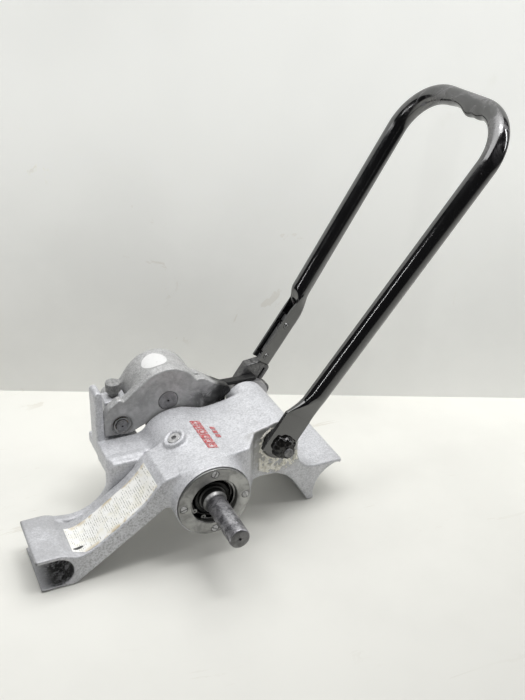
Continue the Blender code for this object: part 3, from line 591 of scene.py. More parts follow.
class Block:
    """A grid of points in layout millimetres; every shape below is a signed distance on it."""

    def __init__(self, low, high, step):
        self.low, self.step = np.array(low, dtype=np.float64), step
        spans = [np.arange(a, b + step, step, dtype=np.float32) for a, b in zip(low, high)]
        self.x = spans[0][:, None, None]
        self.y = spans[1][None, :, None]
        self.z = spans[2][None, None, :]

    def outline(self, points, u, v):
        """Distance to a closed outline in the plane of two axes."""
        best = np.full(np.broadcast(u, v).shape, 1e9, dtype=np.float32)
        inside = np.zeros(best.shape, dtype=bool)
        for (ax, ay), (bx, by) in zip(points, points[1:] + points[:1]):
            ex, ey = bx - ax, by - ay
            length = ex * ex + ey * ey
            if length < 1e-9:
                continue
            wx, wy = u - ax, v - ay
            t = np.clip((wx * ex + wy * ey) / length, 0.0, 1.0)
            best = np.minimum(best, (wx - ex * t) ** 2 + (wy - ey * t) ** 2)
            if ay != by:
                inside ^= ((ay > v) != (by > v)) & (u < ex * (v - ay) / (by - ay) + ax)
        return np.where(inside, -1.0, 1.0).astype(np.float32) * np.sqrt(best)

    def between(self, flat, axis, low, high, edge):
        """Gives a flat distance a thickness along an axis, its edges rounded."""
        across = np.abs(axis - (low + high) / 2) - (high - low) / 2
        a, b = flat + edge, across + edge
        outer = np.hypot(np.maximum(a, 0.0), np.maximum(b, 0.0))
        return (np.minimum(np.maximum(a, b), 0.0) + outer - edge).astype(np.float32)

    def plate(self, points, y0, y1, edge=1.5, grow=0.0):
        return self.between(self.outline(points, self.x, self.z) - grow, self.y, y0, y1, edge)

    def rod(self, radius, y0, y1, x=0.0, z=0.0, edge=1.5):
        return self.between(np.hypot(self.x - x, self.z - z) - radius, self.y, y0, y1, edge)

    def post(self, radius, z0, z1, x, y, edge=1.0):
        return self.between(np.hypot(self.x - x, self.y - y) - radius, self.z, z0, z1, edge)

    def box(self, x, y, z, edge=1.0):
        parts = [np.abs(axis - (a + b) / 2) - (b - a) / 2 + edge
                 for axis, (a, b) in ((self.x, x), (self.y, y), (self.z, z))]
        outer = np.sqrt(sum(np.maximum(part, 0.0) ** 2 for part in parts))
        inner = np.minimum(np.maximum(np.maximum(parts[0], parts[1]), parts[2]), 0.0)
        return (outer + inner - edge).astype(np.float32)


def meld(a, b, fillet):
    """Union whose inside corners are filled to about that radius."""
    if fillet <= 0.0:
        return np.minimum(a, b)
    h = np.clip(0.5 + 0.5 * (b - a) / fillet, 0.0, 1.0)
    return (b * (1 - h) + a * h - fillet * h * (1 - h)).astype(np.float32)


def carve(a, b, edge=0.6):
    """a without b, the new edge broken."""
    return -meld(-a, b, edge)


def skin(block, field, relax=2):
    """The zero surface of a field as (vertices in layout millimetres, quads)."""
    grid = openvdb.FloatGrid()
    band = 3.0 * block.step
    grid.background = band
    grid.copyFromArray(np.clip(field, -band, band).astype(np.float32))
    points, triangles, quads = grid.convertToPolygons(isovalue=0.0, adaptivity=0.0)
    points = points.astype(np.float64)
    for _ in range(relax):
        pairs = np.concatenate([quads[:, [0, 1]], quads[:, [1, 2]], quads[:, [2, 3]], quads[:, [3, 0]]])
        total = np.zeros_like(points)
        count = np.zeros(len(points))
        for a, b in ((0, 1), (1, 0)):
            np.add.at(total, pairs[:, a], points[pairs[:, b]])
            np.add.at(count, pairs[:, a], 1.0)
        points = points * 0.5 + 0.5 * total / count[:, None]
    faces = quads[:, ::-1].tolist() + triangles[:, ::-1].tolist()
    return block.low + points * block.step, faces


def roughen(vertices, amount, period):
    """Moves points a little, so that flat cast faces aren't perfectly flat."""
    out = np.array(vertices)
    for i, point in enumerate(vertices):
        out[i] += np.array(noise.noise_vector(Vector(point) / period)) * amount
    return out


# ---------------------------------------------------------------- housing

def housing_shape():
    step = 1.45
    block = Block((-216, 0, BASE_Z - 3), (214, 196, 99), step)
    fx, fz = FEED_AXIS

    barrel = block.rod(BARREL_RADIUS, 8.0, 145, edge=1.2)
    bridge = block.plate(rounded([
        (-10, 30, 0), (10, 42, 0), (24, 41.0, 12), (38, 40.5, 20), (52, 41.5, 20), (70, 44.5, 30), (90, 49, 10),
        (104, 46, 0), (120, 30, 0), (120, -20, 0), (100, -25, 10), (90, -24, 10), (76, -28, 10), (60, -34, 0),
        (40, -38, 0), (-10, -30, 0)]), 30, 144, 2.0)
    body = np.maximum(meld(barrel, bridge, 12.0), block.y - 145.0)
    hood = block.rod(HOOD_RADIUS, 55, 164, fx, fz, edge=1.5)
    body = meld(body, hood, 5.0)
    saddle = arc(SADDLE_CENTRE, SADDLE_RADIUS, 101, 172, 14)
    foot = block.plate(rounded([
        (95, 45, 0), (128, 40, 0), (136, 30, 4), (139, 16, 6), (140, -6, 10), (144, -17, 12), (152, -25, 12),
        (164, -30, 10), (204, -30, 5), (209.7, -32, 2.6), (208.6, -38.4, 2.6),
        (203, -35.2, 2)]) + saddle + rounded([
            (167.5, -78, 3), (167, BASE_Z, 1), (158.5, BASE_Z, 1), (146, -63, 10), (134, -45, 12),
            (124, -35, 12),
            (112, -28.5, 12), (100, -25, 12), (90, -24.5, 8), (80, -20, 0)]), 55, 154, 1.6)
    body = meld(body, foot, 5.0)
    near_plan = rounded([(-230, -10, 0), (50, -10, 0), (58, 30, 0), (76, 55, 0), (210, 55, 7), (210, 154.3, 7),
                         (165, 154.3, 0), (165, 230, 0), (-230, 230, 0)])
    body = carve(body, -block.outline(near_plan, block.x, block.y), 2.5)

    # Hook leg: a beam and its rib, cut to the clamp's end shape.
    hook_end = [(-212, -39, 1.5), (-213, -41, 1), (-209, BASE_Z, 1), (-168, BASE_Z, 4), (-160, -80, 10)]
    beam = block.plate(rounded([
        (-20, 40, 0), (-40, 36, 0), (-54, 32, 6), (-64, 24, 10), (-74, 10, 30), (-86, -1, 40), (-112, -20, 60),
        (-136, -36.5, 40), (-149, -43.5, 20), (-161, -46.5, 12), (-172, -43.5, 12), (-184, -39, 10)]
        + hook_end + [(-49, -5, 0), (-30, -10, 0), (-20, 0, 0)]), 21, 89, 1.8)
    clamp = block.plate(rounded([(-176, -41.5, 4), (-184, -39, 8)] + hook_end + [(-158, -50, 6)]), 21, 105, 1.4)
    rib = block.plate(rounded([
        (-55, 20, 0), (-96, 20, 0), (-101.5, 10, 8), (-102, -3, 20), (-105, -15, 20), (-111, -26, 20),
        (-118, -33, 20), (-126, -38.5, 20), (-138, -43.5, 20), (-151, -45.5, 20), (-163, -44, 12),
        (-176, -41.5, 6), (-178, BASE_Z, 1)] + hook_end[3:] + [(-60, -12, 0), (-50, -5, 0)]), 90.5, 105, 4.5)
    leg = np.minimum(meld(beam, rib, 2.2), clamp)
    body = meld(body, leg, 11.0)

    shelf = block.plate(rounded([
        (-35, 20, 0), (-101, 20, 2), (-101, -5, 4), (-96, -15, 4), (-80, -24, 4), (-30, -30, 0)]),
        104.5, 147.4, 1.6)
    body = np.maximum(meld(body, shelf, 9.0), block.y - 147.4)
    body = np.minimum(body, block.rod(HOOD_RADIUS, 100, 164, fx, fz, edge=1.5))
    body = np.minimum(body, np.maximum(foot, 100 - block.y))
    # Shelf's rear wall, its slab, and the lug for the arm's pin.
    wall = block.plate(arc((-95.5, 85), 5.5, 0, 180, 10) + [(-101, 2), (-90, -6)], 146, 172, 2.2)
    slab_shape = block.box((-100, -42), (140, 192), (-6, 9), 1.5)
    lug = block.plate(rounded([(-83, 5, 0), (-52, 5, 0), (-52, 63, 2.5), (-83, 63, 2.5)]), 165, 192, 1.6)
    rear = meld(meld(slab_shape, wall, 4.0), lug, 4.0)
    body = meld(body, rear, 3.0)

    # Filling boss: a raised ring on the barrel's shoulder.
    lean_sin, lean_cos = math.sin(PLUG_ANGLE), math.cos(PLUG_ANGLE)
    height = block.z * lean_cos - block.x * lean_sin
    aside = block.x * lean_cos + block.z * lean_sin
    radial = np.hypot(aside, block.y - PLUG_Y)
    body = meld(body, block.between(radial - 14.4, height, 40.0, 54.6, 1.0), 2.0)
    body = carve(body, block.between(radial - 10.0, height, 53.6, 70.0, 0.4), 0.5)
    body = carve(body, block.between(radial - 8.4, height, 20.0, 70.0, 0.5), 0.6)

    slot_x, slot_z = SLOT_CENTRE
    mouth = block.box((slot_x - 60, slot_x), (5, 130), (slot_z - SLOT_RADIUS, slot_z + SLOT_RADIUS), 0.5)
    body = carve(body, np.minimum(block.rod(SLOT_RADIUS, 5, 130, *SLOT_CENTRE, edge=0.5), mouth), 1.6)
    for cutter in (block.rod(36.0, -5, 25.3, edge=0.2), block.rod(25.0, 20, 130, edge=0.2),
                   block.rod(36.0, 123.7, 150, edge=0.2), block.rod(13.3, 40, 170, fx, fz, edge=0.2),
                   block.rod(8.4, 160, 200, *ARM_PIVOT, edge=0.2), block.post(5.6, 40, 70, *DEPTH_AXIS, 0.2)):
        body = carve(body, cutter, 0.5)
    body = np.maximum(body, BASE_Z - block.z)
    return skin(block, body)


def build_housing():
    vertices, faces = housing_shape()
    vertices = roughen(vertices, 0.18, 9.0)
    vertices[:, 2] = np.maximum(vertices[:, 2], BASE_Z)
    finish = housing_finish()
    casting = add("housing_casting", vertices, faces, finish, HOUSING, ("housing",), sharp=0.0)
    rim = ring_profile(46.75, BARREL_RADIUS, 3.0, 9.2, 0.35)
    spin("barrel_rim", rim, along_y(), finish, HOUSING, sides=144, closed=True)
    return casting


# ---------------------------------------------------------------- arm

def arm_shape():
    step = 1.05
    block = Block((-95, 146, -14), (144, 210, 108), step)
    px, pz = ARM_PIVOT
    rx, rz = ROLL_AXIS
    face = rounded([
        (px - 20, pz - 14, 3), (px - 22.5, pz - 8, 4), (px - 21.5, pz + 14, 8), (px - 15, pz + 26, 10),
        (px + 8, pz + 43, 30)]) + arc(ROLL_AXIS, 44, 125, 45, 16) + rounded([
            (42, 81, 12), (62, 67, 16), (80, 59, 6), (84, 53, 3), (72, 44, 6), (56, 37, 10), (40, 34, 10),
            (26, 34, 8), (14, 37, 6), (-20, 37, 8), (-36, 31, 10), (-52, 24, 12), (px - 2, pz - 17, 8)])
    plate = block.plate(face, ARM_FACE_Y, 161.5, 2.4, grow=1.8)
    ring = block.between(np.abs(np.hypot(block.x - rx, block.z - rz) - SHROUD_RADIUS + 5.0) - 5.0,
                         block.y, 158.0, ARM_REAR_Y - 0.5, 2.0)
    shroud = carve(ring, block.z - (rz - 11.0), 3.0)
    rear = block.plate(rounded([
        (px - 16, pz - 10, 5), (px - 17, pz + 8, 8), (px - 8, pz + 24, 12), (px + 18, pz + 40, 20)])
        + arc(ROLL_AXIS, SHROUD_RADIUS - 1.5, 120, -20, 18) + rounded([
            (16, 38, 5), (-18, 38, 5), (-40, 28, 8), (px + 2, pz - 17, 10), (px - 9, pz - 15, 8)]),
        195, ARM_REAR_Y, 1.6, grow=0.8)
    arm = meld(meld(plate, shroud, 4.0), rear, 3.0)
    jaw_low, jaw_high = 4.6, 49.4
    fork = block.plate(rounded([
        (28, 84, 0), (44, 79, 6), (62, 66, 6), (80, 55.5, 6), (130, 54.5, 2), (130, jaw_high, 1.5),
        (84, jaw_high, 5), (84, jaw_low, 5), (130, jaw_low, 2), (130, -9, 4), (80, -9, 10), (68, 5, 8),
        (62, 32, 10), (34, 52, 0)]),
        165.6, 177.6, 1.2)
    web = block.box((35.5, 68), (158, 168), (51, 61), 2.0)
    arm = meld(meld(arm, web, 4.0), fork, 4.0)
    arm = np.maximum(arm, ARM_FACE_Y - block.y)
    for cutter in (block.rod(10.2, 140, 164, px, pz, 0.2), block.rod(10.2, 190, 212, px, pz, 0.2),
                   block.rod(13.5, 140, ARM_FACE_Y + 3.0, px, pz, 0.3),
                   block.rod(12.95, 140, 212, rx, rz, 0.2)):
        arm = carve(arm, cutter, 0.7)
    return skin(block, arm)


def build_arm():
    vertices, faces = arm_shape()
    flat = vertices[:, 1] < ARM_FACE_Y + 0.25
    moved = roughen(vertices, 0.14, 8.0)
    moved[flat, 1] = ARM_FACE_Y
    return add("arm_casting", moved, faces, arm_finish(), ARM, ("roll_arm",), sharp=0.0)


# ---------------------------------------------------------------- handle and bracket

CORNER = 60.0
TOP = 479.0
TUBE_FROM = 78.0
CHANNEL_TO = 133.0
FUNNEL_TO = 168.0
# Near foot: place along the leg, Y, lower and upper edge, thickness, and corner radius.
FOOT = (
    (-13.5, 40.6, 3.0, 28.0, 5.2, 0.5), (-11.5, 40.6, -3.0, 28.0, 5.2, 0.5),
    (-9.0, 40.6, -6.5, 28.0, 5.2, 0.5), (-6.0, 40.6, -9.6, 28.0, 5.2, 0.5),
    (-2.5, 40.6, -11.5, 28.0, 5.2, 0.5), (42.6, 40.6, -11.5, 28.0, 5.2, 0.5),
    (44.2, 40.65, -11.6, 27.4, 5.2, 0.7), (45.6, 40.9, -11.7, 26.2, 5.5, 1.2),
    (52.0, 41.4, -12.0, 22.0, 7.5, 2.6), (58.0, 42.0, -12.4, 18.0, 11.0, 4.6),
    (66.0, 42.6, -12.7, 14.2, 17.0, 8.0), (TUBE_FROM, 42.34, -12.7, 12.7, 25.4, 12.7),
)


def leg_y(s, near):
    """Y of the near or the far leg's centre line: the legs spread a little towards the loop."""
    return 42.8 - 0.0657 * (s - 71.0) if near else 185.0 + 0.0748 * (s - 71.0)


def smoothstep(value, low, high):
    t = min(max((value - low) / (high - low), 0.0), 1.0)
    return t * t * (3 - 2 * t)


def foot_at(s):
    """The near foot's (y, lower, upper, thickness, corner) at a place along the leg."""
    for a, b in zip(FOOT, FOOT[1:]):
        if s <= b[0]:
            t = (s - a[0]) / (b[0] - a[0])
            return [a[i] + (b[i] - a[i]) * t for i in range(1, 6)]
    return FOOT[-1][1:]


def handle_path():
    """(s, y, side) along the loop, close together, from the near foot to the far foot."""
    near_places = [-13.5, -12.5, -11.5, -10.2, -9.0, -7.5, -6.0, -4.2, -2.5]
    near_places += [6.0 * i for i in range(8)] + [42.6, 43.4, 44.2, 44.9, 45.6]
    near_places += [47.5 + 2.0 * i for i in range(15)] + [TUBE_FROM]
    path = [(s, foot_at(s)[0], 1) for s in near_places]
    corner_s = TOP - CORNER
    path += [(s, leg_y(s, True), 1) for s in np.arange(84.0, corner_s - 2.0, 6.0)]
    near, far = leg_y(corner_s, True), leg_y(corner_s, False)
    turns = [math.pi / 2 * step / 28 for step in range(29)]
    bend = [(corner_s + CORNER * math.sin(turn), CORNER - CORNER * math.cos(turn)) for turn in turns]
    path += [(s, near + y, 1) for s, y in bend]
    path += [(TOP, y, 0) for y in np.arange(near + CORNER + 3.0, far - CORNER - 1.5, 3.0)]
    path += [(s, far - y, -1) for s, y in reversed(bend)]
    path += [(s, leg_y(s, False), -1) for s in np.arange(corner_s - 6.0, FUNNEL_TO + 3.0, -6.0)]
    for s in np.arange(FUNNEL_TO, CHANNEL_TO, -1.75):
        mixed = smoothstep(s, CHANNEL_TO, FUNNEL_TO)
        path.append((s, CHANNEL_Y * (1 - mixed) + leg_y(s, False) * mixed, -1))
    path += [(s, CHANNEL_Y, -1) for s in np.linspace(CHANNEL_TO, 55.5, 14)]
    return path


def bar_section(lower, upper, thick, corner, count):
    """Rounded bar: (through, up) points, the same number to each corner, clockwise from +through."""
    a, b, middle = (upper - lower) / 2, thick / 2, (upper + lower) / 2
    corner = min(corner, a, b)
    points = []
    for step in range(count):
        angle = -2 * math.pi * (step + 0.5) / count
        c, s = math.cos(angle), math.sin(angle)
        points.append((math.copysign(b - corner, c) + corner * c,
                       middle + math.copysign(a - corner, s) + corner * s))
    return points


def channel_section(count):
    """Open channel: (through, up) points, down the skin, under and up, then back inside."""
    half = count // 2
    wide, narrow, rim = CHANNEL_HALF, 7.0, 5.0
    outer = rounded([(wide, rim, 0.0), (wide, -14.5, 3.0), (-wide, -14.5, 3.0), (-wide, rim, 0.0)], 5)
    inner = rounded([(-narrow, rim, 0.0), (-narrow, -11.2, 1.2), (narrow, -11.2, 1.2), (narrow, rim, 0.0)], 5)

    def spread(points, number):
        spots = [Vector(point) for point in points]
        lengths = [0.0]
        for a, b in zip(spots, spots[1:]):
            lengths.append(lengths[-1] + (b - a).length)
        out = []
        for i in range(number):
            want = lengths[-1] * i / (number - 1)
            j = max(k for k in range(len(lengths) - 1) if lengths[k] <= want + 1e-6)
            t = (want - lengths[j]) / max(lengths[j + 1] - lengths[j], 1e-9)
            out.append(tuple(spots[j].lerp(spots[j + 1], min(t, 1.0))))
        return out
    return spread(outer, half) + spread(inner, count - half)


def grip_dent(s, y, out, up):
    """The squeezed inner wall of the bend, wavy at its middle: how far a point moves along the leg."""
    middle = (leg_y(TOP - CORNER, True) + leg_y(TOP - CORNER, False)) / 2
    share = smoothstep(s, 440.0, 472.0) * max(0.0, -math.cos(math.atan2(up, out))) ** 1.5
    wave = (4.0 * math.exp(-((y - middle + 13) / 10.0) ** 2) + 2.4 * math.exp(-((y - middle + 33) / 9.0) ** 2)
            - 3.4 * math.exp(-((y - middle - 14) / 20.0) ** 2))
    return -share * wave


def build_handle(material):
    count = 64
    path = handle_path()
    channel = channel_section(count)
    vertices, faces = [], []
    to_layout = feed_matrix()
    for behind, (s, y, side), ahead in zip(path[:1] + path, path, path[1:] + path[-1:]):
        tangent = Vector((ahead[0] - behind[0], ahead[1] - behind[1])).normalized()
        if (side == 1 and s < TUBE_FROM) or (side == -1 and s <= CHANNEL_TO):
            tangent = Vector((float(side), 0.0))
        if side == 1 and s <= TUBE_FROM:
            section = bar_section(*foot_at(s)[1:], count)
        else:
            section = bar_section(-TUBE_RADIUS, TUBE_RADIUS, 2 * TUBE_RADIUS, TUBE_RADIUS, count)
        folded = (1.0 - smoothstep(s, CHANNEL_TO, FUNNEL_TO)) if side == -1 else 0.0
        for (out, up), (fold_out, fold_up) in zip(section, channel):
            out = (out + grip_dent(s, y, out, up)) * (1 - folded) + fold_out * folded
            up = up * (1 - folded) + fold_up * folded
            spot = Vector((s + tangent.y * out, y - tangent.x * out, up))
            vertices.append(to_layout @ spot)
    rows = len(path)
    for row in range(rows - 1):
        for step in range(count):
            a, b = row * count + step, row * count + (step + 1) % count
            faces.append([a, b, count + b, count + a])
    faces.append(list(range(count)))
    faces.append([(rows - 1) * count + step for step in range(count)])
    return add("loop_handle", vertices, faces, material, FEED, ("handle_loop",), sharp=38.0)


def build_bracket(material):
    """Forged bracket, worked out in the handle's own frame and then turned into place."""
    step = 0.8
    block = Block((-24, 174, -44), (132, 200, 24), step)
    ear = (21.0, -30.0)
    body = block.plate(rounded([(x, z, 0) for x, z in arc((0, 0), 18, 90, 215, 14)] + [(4, -20, 3)])
                       + arc(ear, 9, 200, 380, 14) + rounded([
                           (34, -18.5, 2), (52, -18.5, 2), (55, -15, 1.5), (55, 0.5, 1), (41.8, 15.5, 1),
                           (5, 15.5, 5)]), 178.2, 194.0, 1.2)
    tongue = block.box((50, 127), (CHANNEL_Y - 5.3, CHANNEL_Y + 5.3), (-10, 0.5), 0.8)
    body = meld(body, tongue, 1.0)
    body = carve(body, block.box((26, 49), (170, 205), (-12.8, -10.2), 0.4), 0.5)
    # A short groove crosses the face that lies level beside the channel.
    slope_sin, slope_cos = math.sin(math.radians(48.7)), math.cos(math.radians(48.7))
    over, up = block.x - 41.8, block.z - 15.5
    level, along = -over * slope_sin - up * slope_cos, over * slope_cos - up * slope_sin
    groove = np.maximum(np.maximum(np.abs(along - 9.0) - 1.5, np.abs(block.y - 187.5) - 5.0), level - 2.0)
    body = carve(body, groove.astype(np.float32), 0.4)
    for radius, (s, w), edge in ((8.6, (0.0, 0.0), 0.6), (4.3, ear, 0.5), (3.3, RIVETS[0], 0.3),
                                 (3.3, RIVETS[1], 0.3)):
        body = carve(body, block.rod(radius, 170, 205, s, w, edge=0.2), edge)
    vertices, faces = skin(block, body)
    to_layout = feed_matrix()
    turned = [to_layout @ Vector(point) for point in roughen(vertices, 0.08, 6.0)]
    return add("handle_bracket_forging", turned, faces, material, FEED, ("handle_bracket",), sharp=0.0)


# ---------------------------------------------------------------- turned and small parts

SCREWS = [(SCREW_CIRCLE * math.cos(quarter * math.pi / 2), SCREW_CIRCLE * math.sin(quarter * math.pi / 2))
          for quarter in range(4)]


def carve_mesh(obj, *tools):
    """Cuts small closed meshes out of a piece, keeps the result and removes the tools."""
    for tool in tools:
        mod = obj.modifiers.new(tool.name, "BOOLEAN")
        mod.operation, mod.solver, mod.object = "DIFFERENCE", "EXACT", tool
    depsgraph = bpy.context.evaluated_depsgraph_get()
    mesh = bpy.data.meshes.new_from_object(obj.evaluated_get(depsgraph))
    obj.modifiers.clear()
    obj.data = mesh
    for tool in tools:
        bpy.data.objects.remove(tool, do_unlink=True)
    mesh.shade_smooth()
    mesh.set_sharp_from_angle(angle=math.radians(30))


def build_flange(steel, pale):
    ring = spin("retaining_flange", rounded([
        (46.4, 8.0, 0.3), (46.4, 0.9, 0.5), (45.4, 0.0, 0.5), (31.0, 0.0, 0.4), (29.7, 1.1, 0.4),
        (29.7, 8.0, 0.3)], 2), along_y(), steel, HOUSING, ("bearing_retainer",), sides=160, closed=True)
    recess = [(0, 3.4), (4.9, 3.4), (4.9, 0.4), (6.0, -2.0), (0, -2.0)]
    carve_mesh(ring, *(spin("recess_tool_%d" % number, recess, along_y(x, z), steel, HOUSING, sides=32)
                       for number, (x, z) in enumerate(SCREWS, 1)))
    for number, (x, z) in enumerate(SCREWS, 1):
        screw = spin("flange_screw_%d" % number, [
            (0, 16), (2.3, 16), (2.3, 3.3), (4.0, 3.3), (4.3, 3.0), (4.3, 0.2), (4.0, -0.4), (2.6, -0.85),
            (0, -0.9)],
            along_y(x, z), pale, HOUSING, ("retainer_screw_%d" % number,), sides=32)
        turn = math.radians(25 + 47 * number)
        slot_outline = [(-6, -0.65), (6, -0.65), (6, 0.65), (-6, 0.65)]
        matrix = Matrix.Translation((x, 0, z)) @ Matrix.Rotation(turn, 4, "Y") @ FACE_Y
        tool = slab("slot_tool_%d" % number, slot_outline, -0.9, 3.0, matrix, steel, HOUSING, edge=0.01)
        carve_mesh(screw, tool)


def build_front_bearing(steel, cage, bright):
    """Open ball bearing: two grooved rings, a flat cage and its balls, with a snap ring in front."""
    spin("front_outer_race", rounded([
        (35.7, 25.0, 0.5), (35.7, 9.0, 0.5), (30.0, 9.0, 0.4), (29.3, 13.5, 0.5), (31.2, 17.0, 2.0),
        (29.3, 20.5, 0.5), (30.0, 25.0, 0.4)], 3), along_y(), steel, HOUSING, ("front_bearing_outer_ring",),
        sides=96, closed=True)
    spin("front_inner_race", rounded([
        (21.8, 25.0, 0.4), (22.4, 20.5, 0.5), (20.6, 17.0, 2.0), (22.4, 13.5, 0.5), (21.8, 9.0, 0.4),
        (17.5, 9.0, 0.5), (17.5, 25.0, 0.5)], 3), along_y(), steel, DRIVE, ("front_bearing_inner_ring",),
        sides=96, closed=True)
    spin("front_cage", ring_profile(24.6, 27.0, 11.2, 12.6, 0.3), along_y(), cage, HOUSING,
         ("front_bearing_cage",), sides=96, closed=True)
    ball_y, steps = 17.0, 14
    ball = [(BALL_RADIUS * math.sin(math.pi * i / steps), ball_y + BALL_RADIUS * math.cos(math.pi * i / steps))
            for i in range(1, steps)]
    ball = [(0.0, ball_y + BALL_RADIUS)] + ball + [(0.0, ball_y - BALL_RADIUS)]
    for number in range(BALLS):
        angle = 2 * math.pi * (number + 0.4) / BALLS
        x, z = BALL_CIRCLE * math.cos(angle), BALL_CIRCLE * math.sin(angle)
        spin("front_ball_%d" % (number + 1), ball, along_y(x, z), steel, HOUSING, sides=20, sharp=0.0)
    snap = arc((0, 0), 29.4, -118, 206, 44) + arc((0, 0), 27.0, 206, -118, 44)
    standing("front_snap_ring", snap, 6.4, 7.8, bright, HOUSING)
    for number, degrees in enumerate((-118, 206), 1):
        spot = arc((0, 0), 26.3, degrees, degrees, 1)[0]
        spin("snap_ring_ear_%d" % number, ring_profile(1.2, 3.2, 6.3, 7.9, 0.2), along_y(*spot), bright, HOUSING,
             sides=24, closed=True)


def build_shaft(oxide):
    """Drive bar with a chuck's shallow jaw marks pressed into its free end."""
    def jaw_marks(radius, height, angle):
        if radius < SHAFT_RADIUS - 0.01 or height < -70 or height > -22:
            return radius
        fade = smoothstep(height, -70, -66) * (1 - smoothstep(height, -30, -22))
        turn = (angle + 0.5) % (2 * math.pi / 3) - math.pi / 3
        return radius - 0.28 * fade * math.exp(-(turn / 0.16) ** 2)
    barrel = [(SHAFT_RADIUS, y) for y in np.linspace(-5.0, -71.6, 24)]
    spin("drive_bar", [
        (0, 212), (8.6, 212), (9.5, 211), (9.5, 196), (14.6, 196), (15, 195.6), (15, 144), (17.2, 144),
        (17.2, 8.4), (16.9, 8.0), (15.6, 7.6), (15.2, 7.2), (15.2, 0.6), (14.9, -0.6),
        (13.2, -3.2)] + barrel + [
            (12.2, -72.9), (11.2, -73.6), (10.6, -73.8), (2.2, -73.8), (1.7, -73.2), (1.5, -70.4), (0, -69.6)],
        along_y(), oxide, DRIVE, ("drive_shaft",), sides=120, warp=jaw_marks)


def knurl(pitch, depth, low, high, surface):
    """Diamond knurling between two heights on the surface of a given radius."""
    def warp(radius, height, angle):
        if abs(radius - surface) > 0.01 or height < low or height > high:
            return radius
        around, up = angle * surface / pitch * math.pi, height / pitch * math.pi
        return radius - depth * (1 - min(abs(math.sin(around + up)), abs(math.sin(around - up))))
    return warp


def build_rolls(oxide):
    def rows(radius, low, high, gap):
        return [(radius, y) for y in np.arange(high, low - 1e-6, -gap)]
    gap = 0.55
    sides = 240
    grip = 22.0
    profile = [(15.3, 194), (20.3, 194), (20.8, 193.6)] + rows(grip, 183.0, 193.0, gap) + [
        (21.6, 182.2), (19.2, 181.8), (19, 181.4), (19, 173.0), (19.2, 172.6), (21.6, 172.2)
    ] + rows(grip, 158.5, 171.6, gap) + [
        (22, 157), (28.6, 156.6), (29.6, 156), (30, 155.2), (30, 149), (29.4, 148.3), (28.6, 148), (15.3, 148)]
    spin("grip_roll", profile, along_y(), oxide, DRIVE, ("drive_roll",), sides=sides, closed=True,
         warp=knurl(1.9, 0.55, 158.0, 193.2, grip), sharp=25.0)
    rx, rz = ROLL_AXIS
    spin("groove_forming_roll", rounded([
        (22.6, 194, 0.5), (24, 192.8, 0.5), (24, 181.8, 0.6), (26.4, 181.5, 1.2), (27.5, 179.8, 1.2),
        (27.5, 175.2, 1.2), (26.4, 173.5, 1.2), (24, 173.2, 0.6), (24, 163.7, 0.5), (22.6, 162.5, 0.5),
        (15.6, 162.5, 0.3), (15.6, 194, 0.3)], 3), along_y(rx, rz), oxide, ROLL, ("groove_roll",), sides=120,
        closed=True)


def threaded(radius, low, high):
    """Profile rows of a stud: vee ridges from high to low."""
    pitch, depth = 1.5, 0.55
    count = int((high - low) / (pitch / 2))
    return [(radius - depth * (i % 2), high - i * (high - low) / count) for i in range(count + 1)]


def build_pins(oxide, steel):
    """Arm pin and groove roll's shaft, with their centre holes, ring grooves and retaining rings."""
    front, rear = ARM_FACE_Y + 0.6, ARM_REAR_Y + 0.6

    def groove(radius, y):
        return [(radius, y + 1.8), (radius - 1.2, y + 1.8), (radius - 1.2, y), (radius, y)]

    spin("arm_pin", [(0, 212), (7, 212), (8, 211)] + groove(8, rear) + groove(8, front) + [
        (8, 146.9), (7.7, 146.3), (7.0, 146), (1.2, 146), (1.0, 148.4), (0, 149.0)],
        along_y(*ARM_PIVOT), oxide, HOUSING, ("pivot_pin",), sides=64)
    spin("roll_shaft_bar", [(0, 213), (11.6, 213), (12.7, 212)] + groove(12.7, rear) + [
        (12.7, 148.1), (12.3, 147.7), (1.5, 147.6), (1.3, 150.4), (0, 151.2)],
        along_y(*ROLL_AXIS), oxide, ARM, ("roll_shaft",), sides=80)

    def c_ring(name, inner, outer, y, centre, opening, node, body):
        """Retaining ring with three inner lugs, open downwards, in the groove at y."""
        start, stop = -90 + opening / 2, 270 - opening / 2
        outline = arc(centre, outer, start, stop, 40)
        for step in range(61):
            degrees = stop + (start - stop) * step / 60
            lug = max(math.exp(-((degrees - at) / 9.0) ** 2) for at in (start, 90, stop))
            reach = outer - 1.9 - (outer - 1.9 - inner) * min(1.0, lug * 1.3)
            outline += arc(centre, reach, degrees, degrees, 1)[:1]
        standing(name, outline, y + 0.3, y + 1.5, steel, body, replaced=(node,), edge=0.2, slot=OXIDE_SLOT)

    c_ring("arm_pin_ring_front", 7.1, 10.6, front, ARM_PIVOT, 80, "pivot_clip_front", HOUSING)
    c_ring("arm_pin_ring_rear", 7.1, 12.0, rear, ARM_PIVOT, 80, "pivot_clip_rear", HOUSING)
    c_ring("roll_shaft_ring", 11.8, 16.6, rear, ROLL_AXIS, 70, "roll_shaft_clip", ARM)


def nut(name, flats, bore, y0, y1, matrix, material, body, node, slot=None):
    """Hexagon nut, chamfered on both faces."""
    corner, face, chamfer = flats / math.sqrt(3.0) + 0.05, flats / 2 * 0.95, 1.5
    sides_y = [y1 - chamfer - (y1 - y0 - 2 * chamfer) * i / 4 for i in range(5)]
    profile = [(bore, y1), (face, y1)] + [(corner, y) for y in sides_y] + [(face, y0), (bore, y0)]
    return spin(name, profile, matrix, material, body, (node,), sides=120, closed=True,
                warp=hex_warp(flats, bore + 0.01), sharp=22.0, slot=slot)


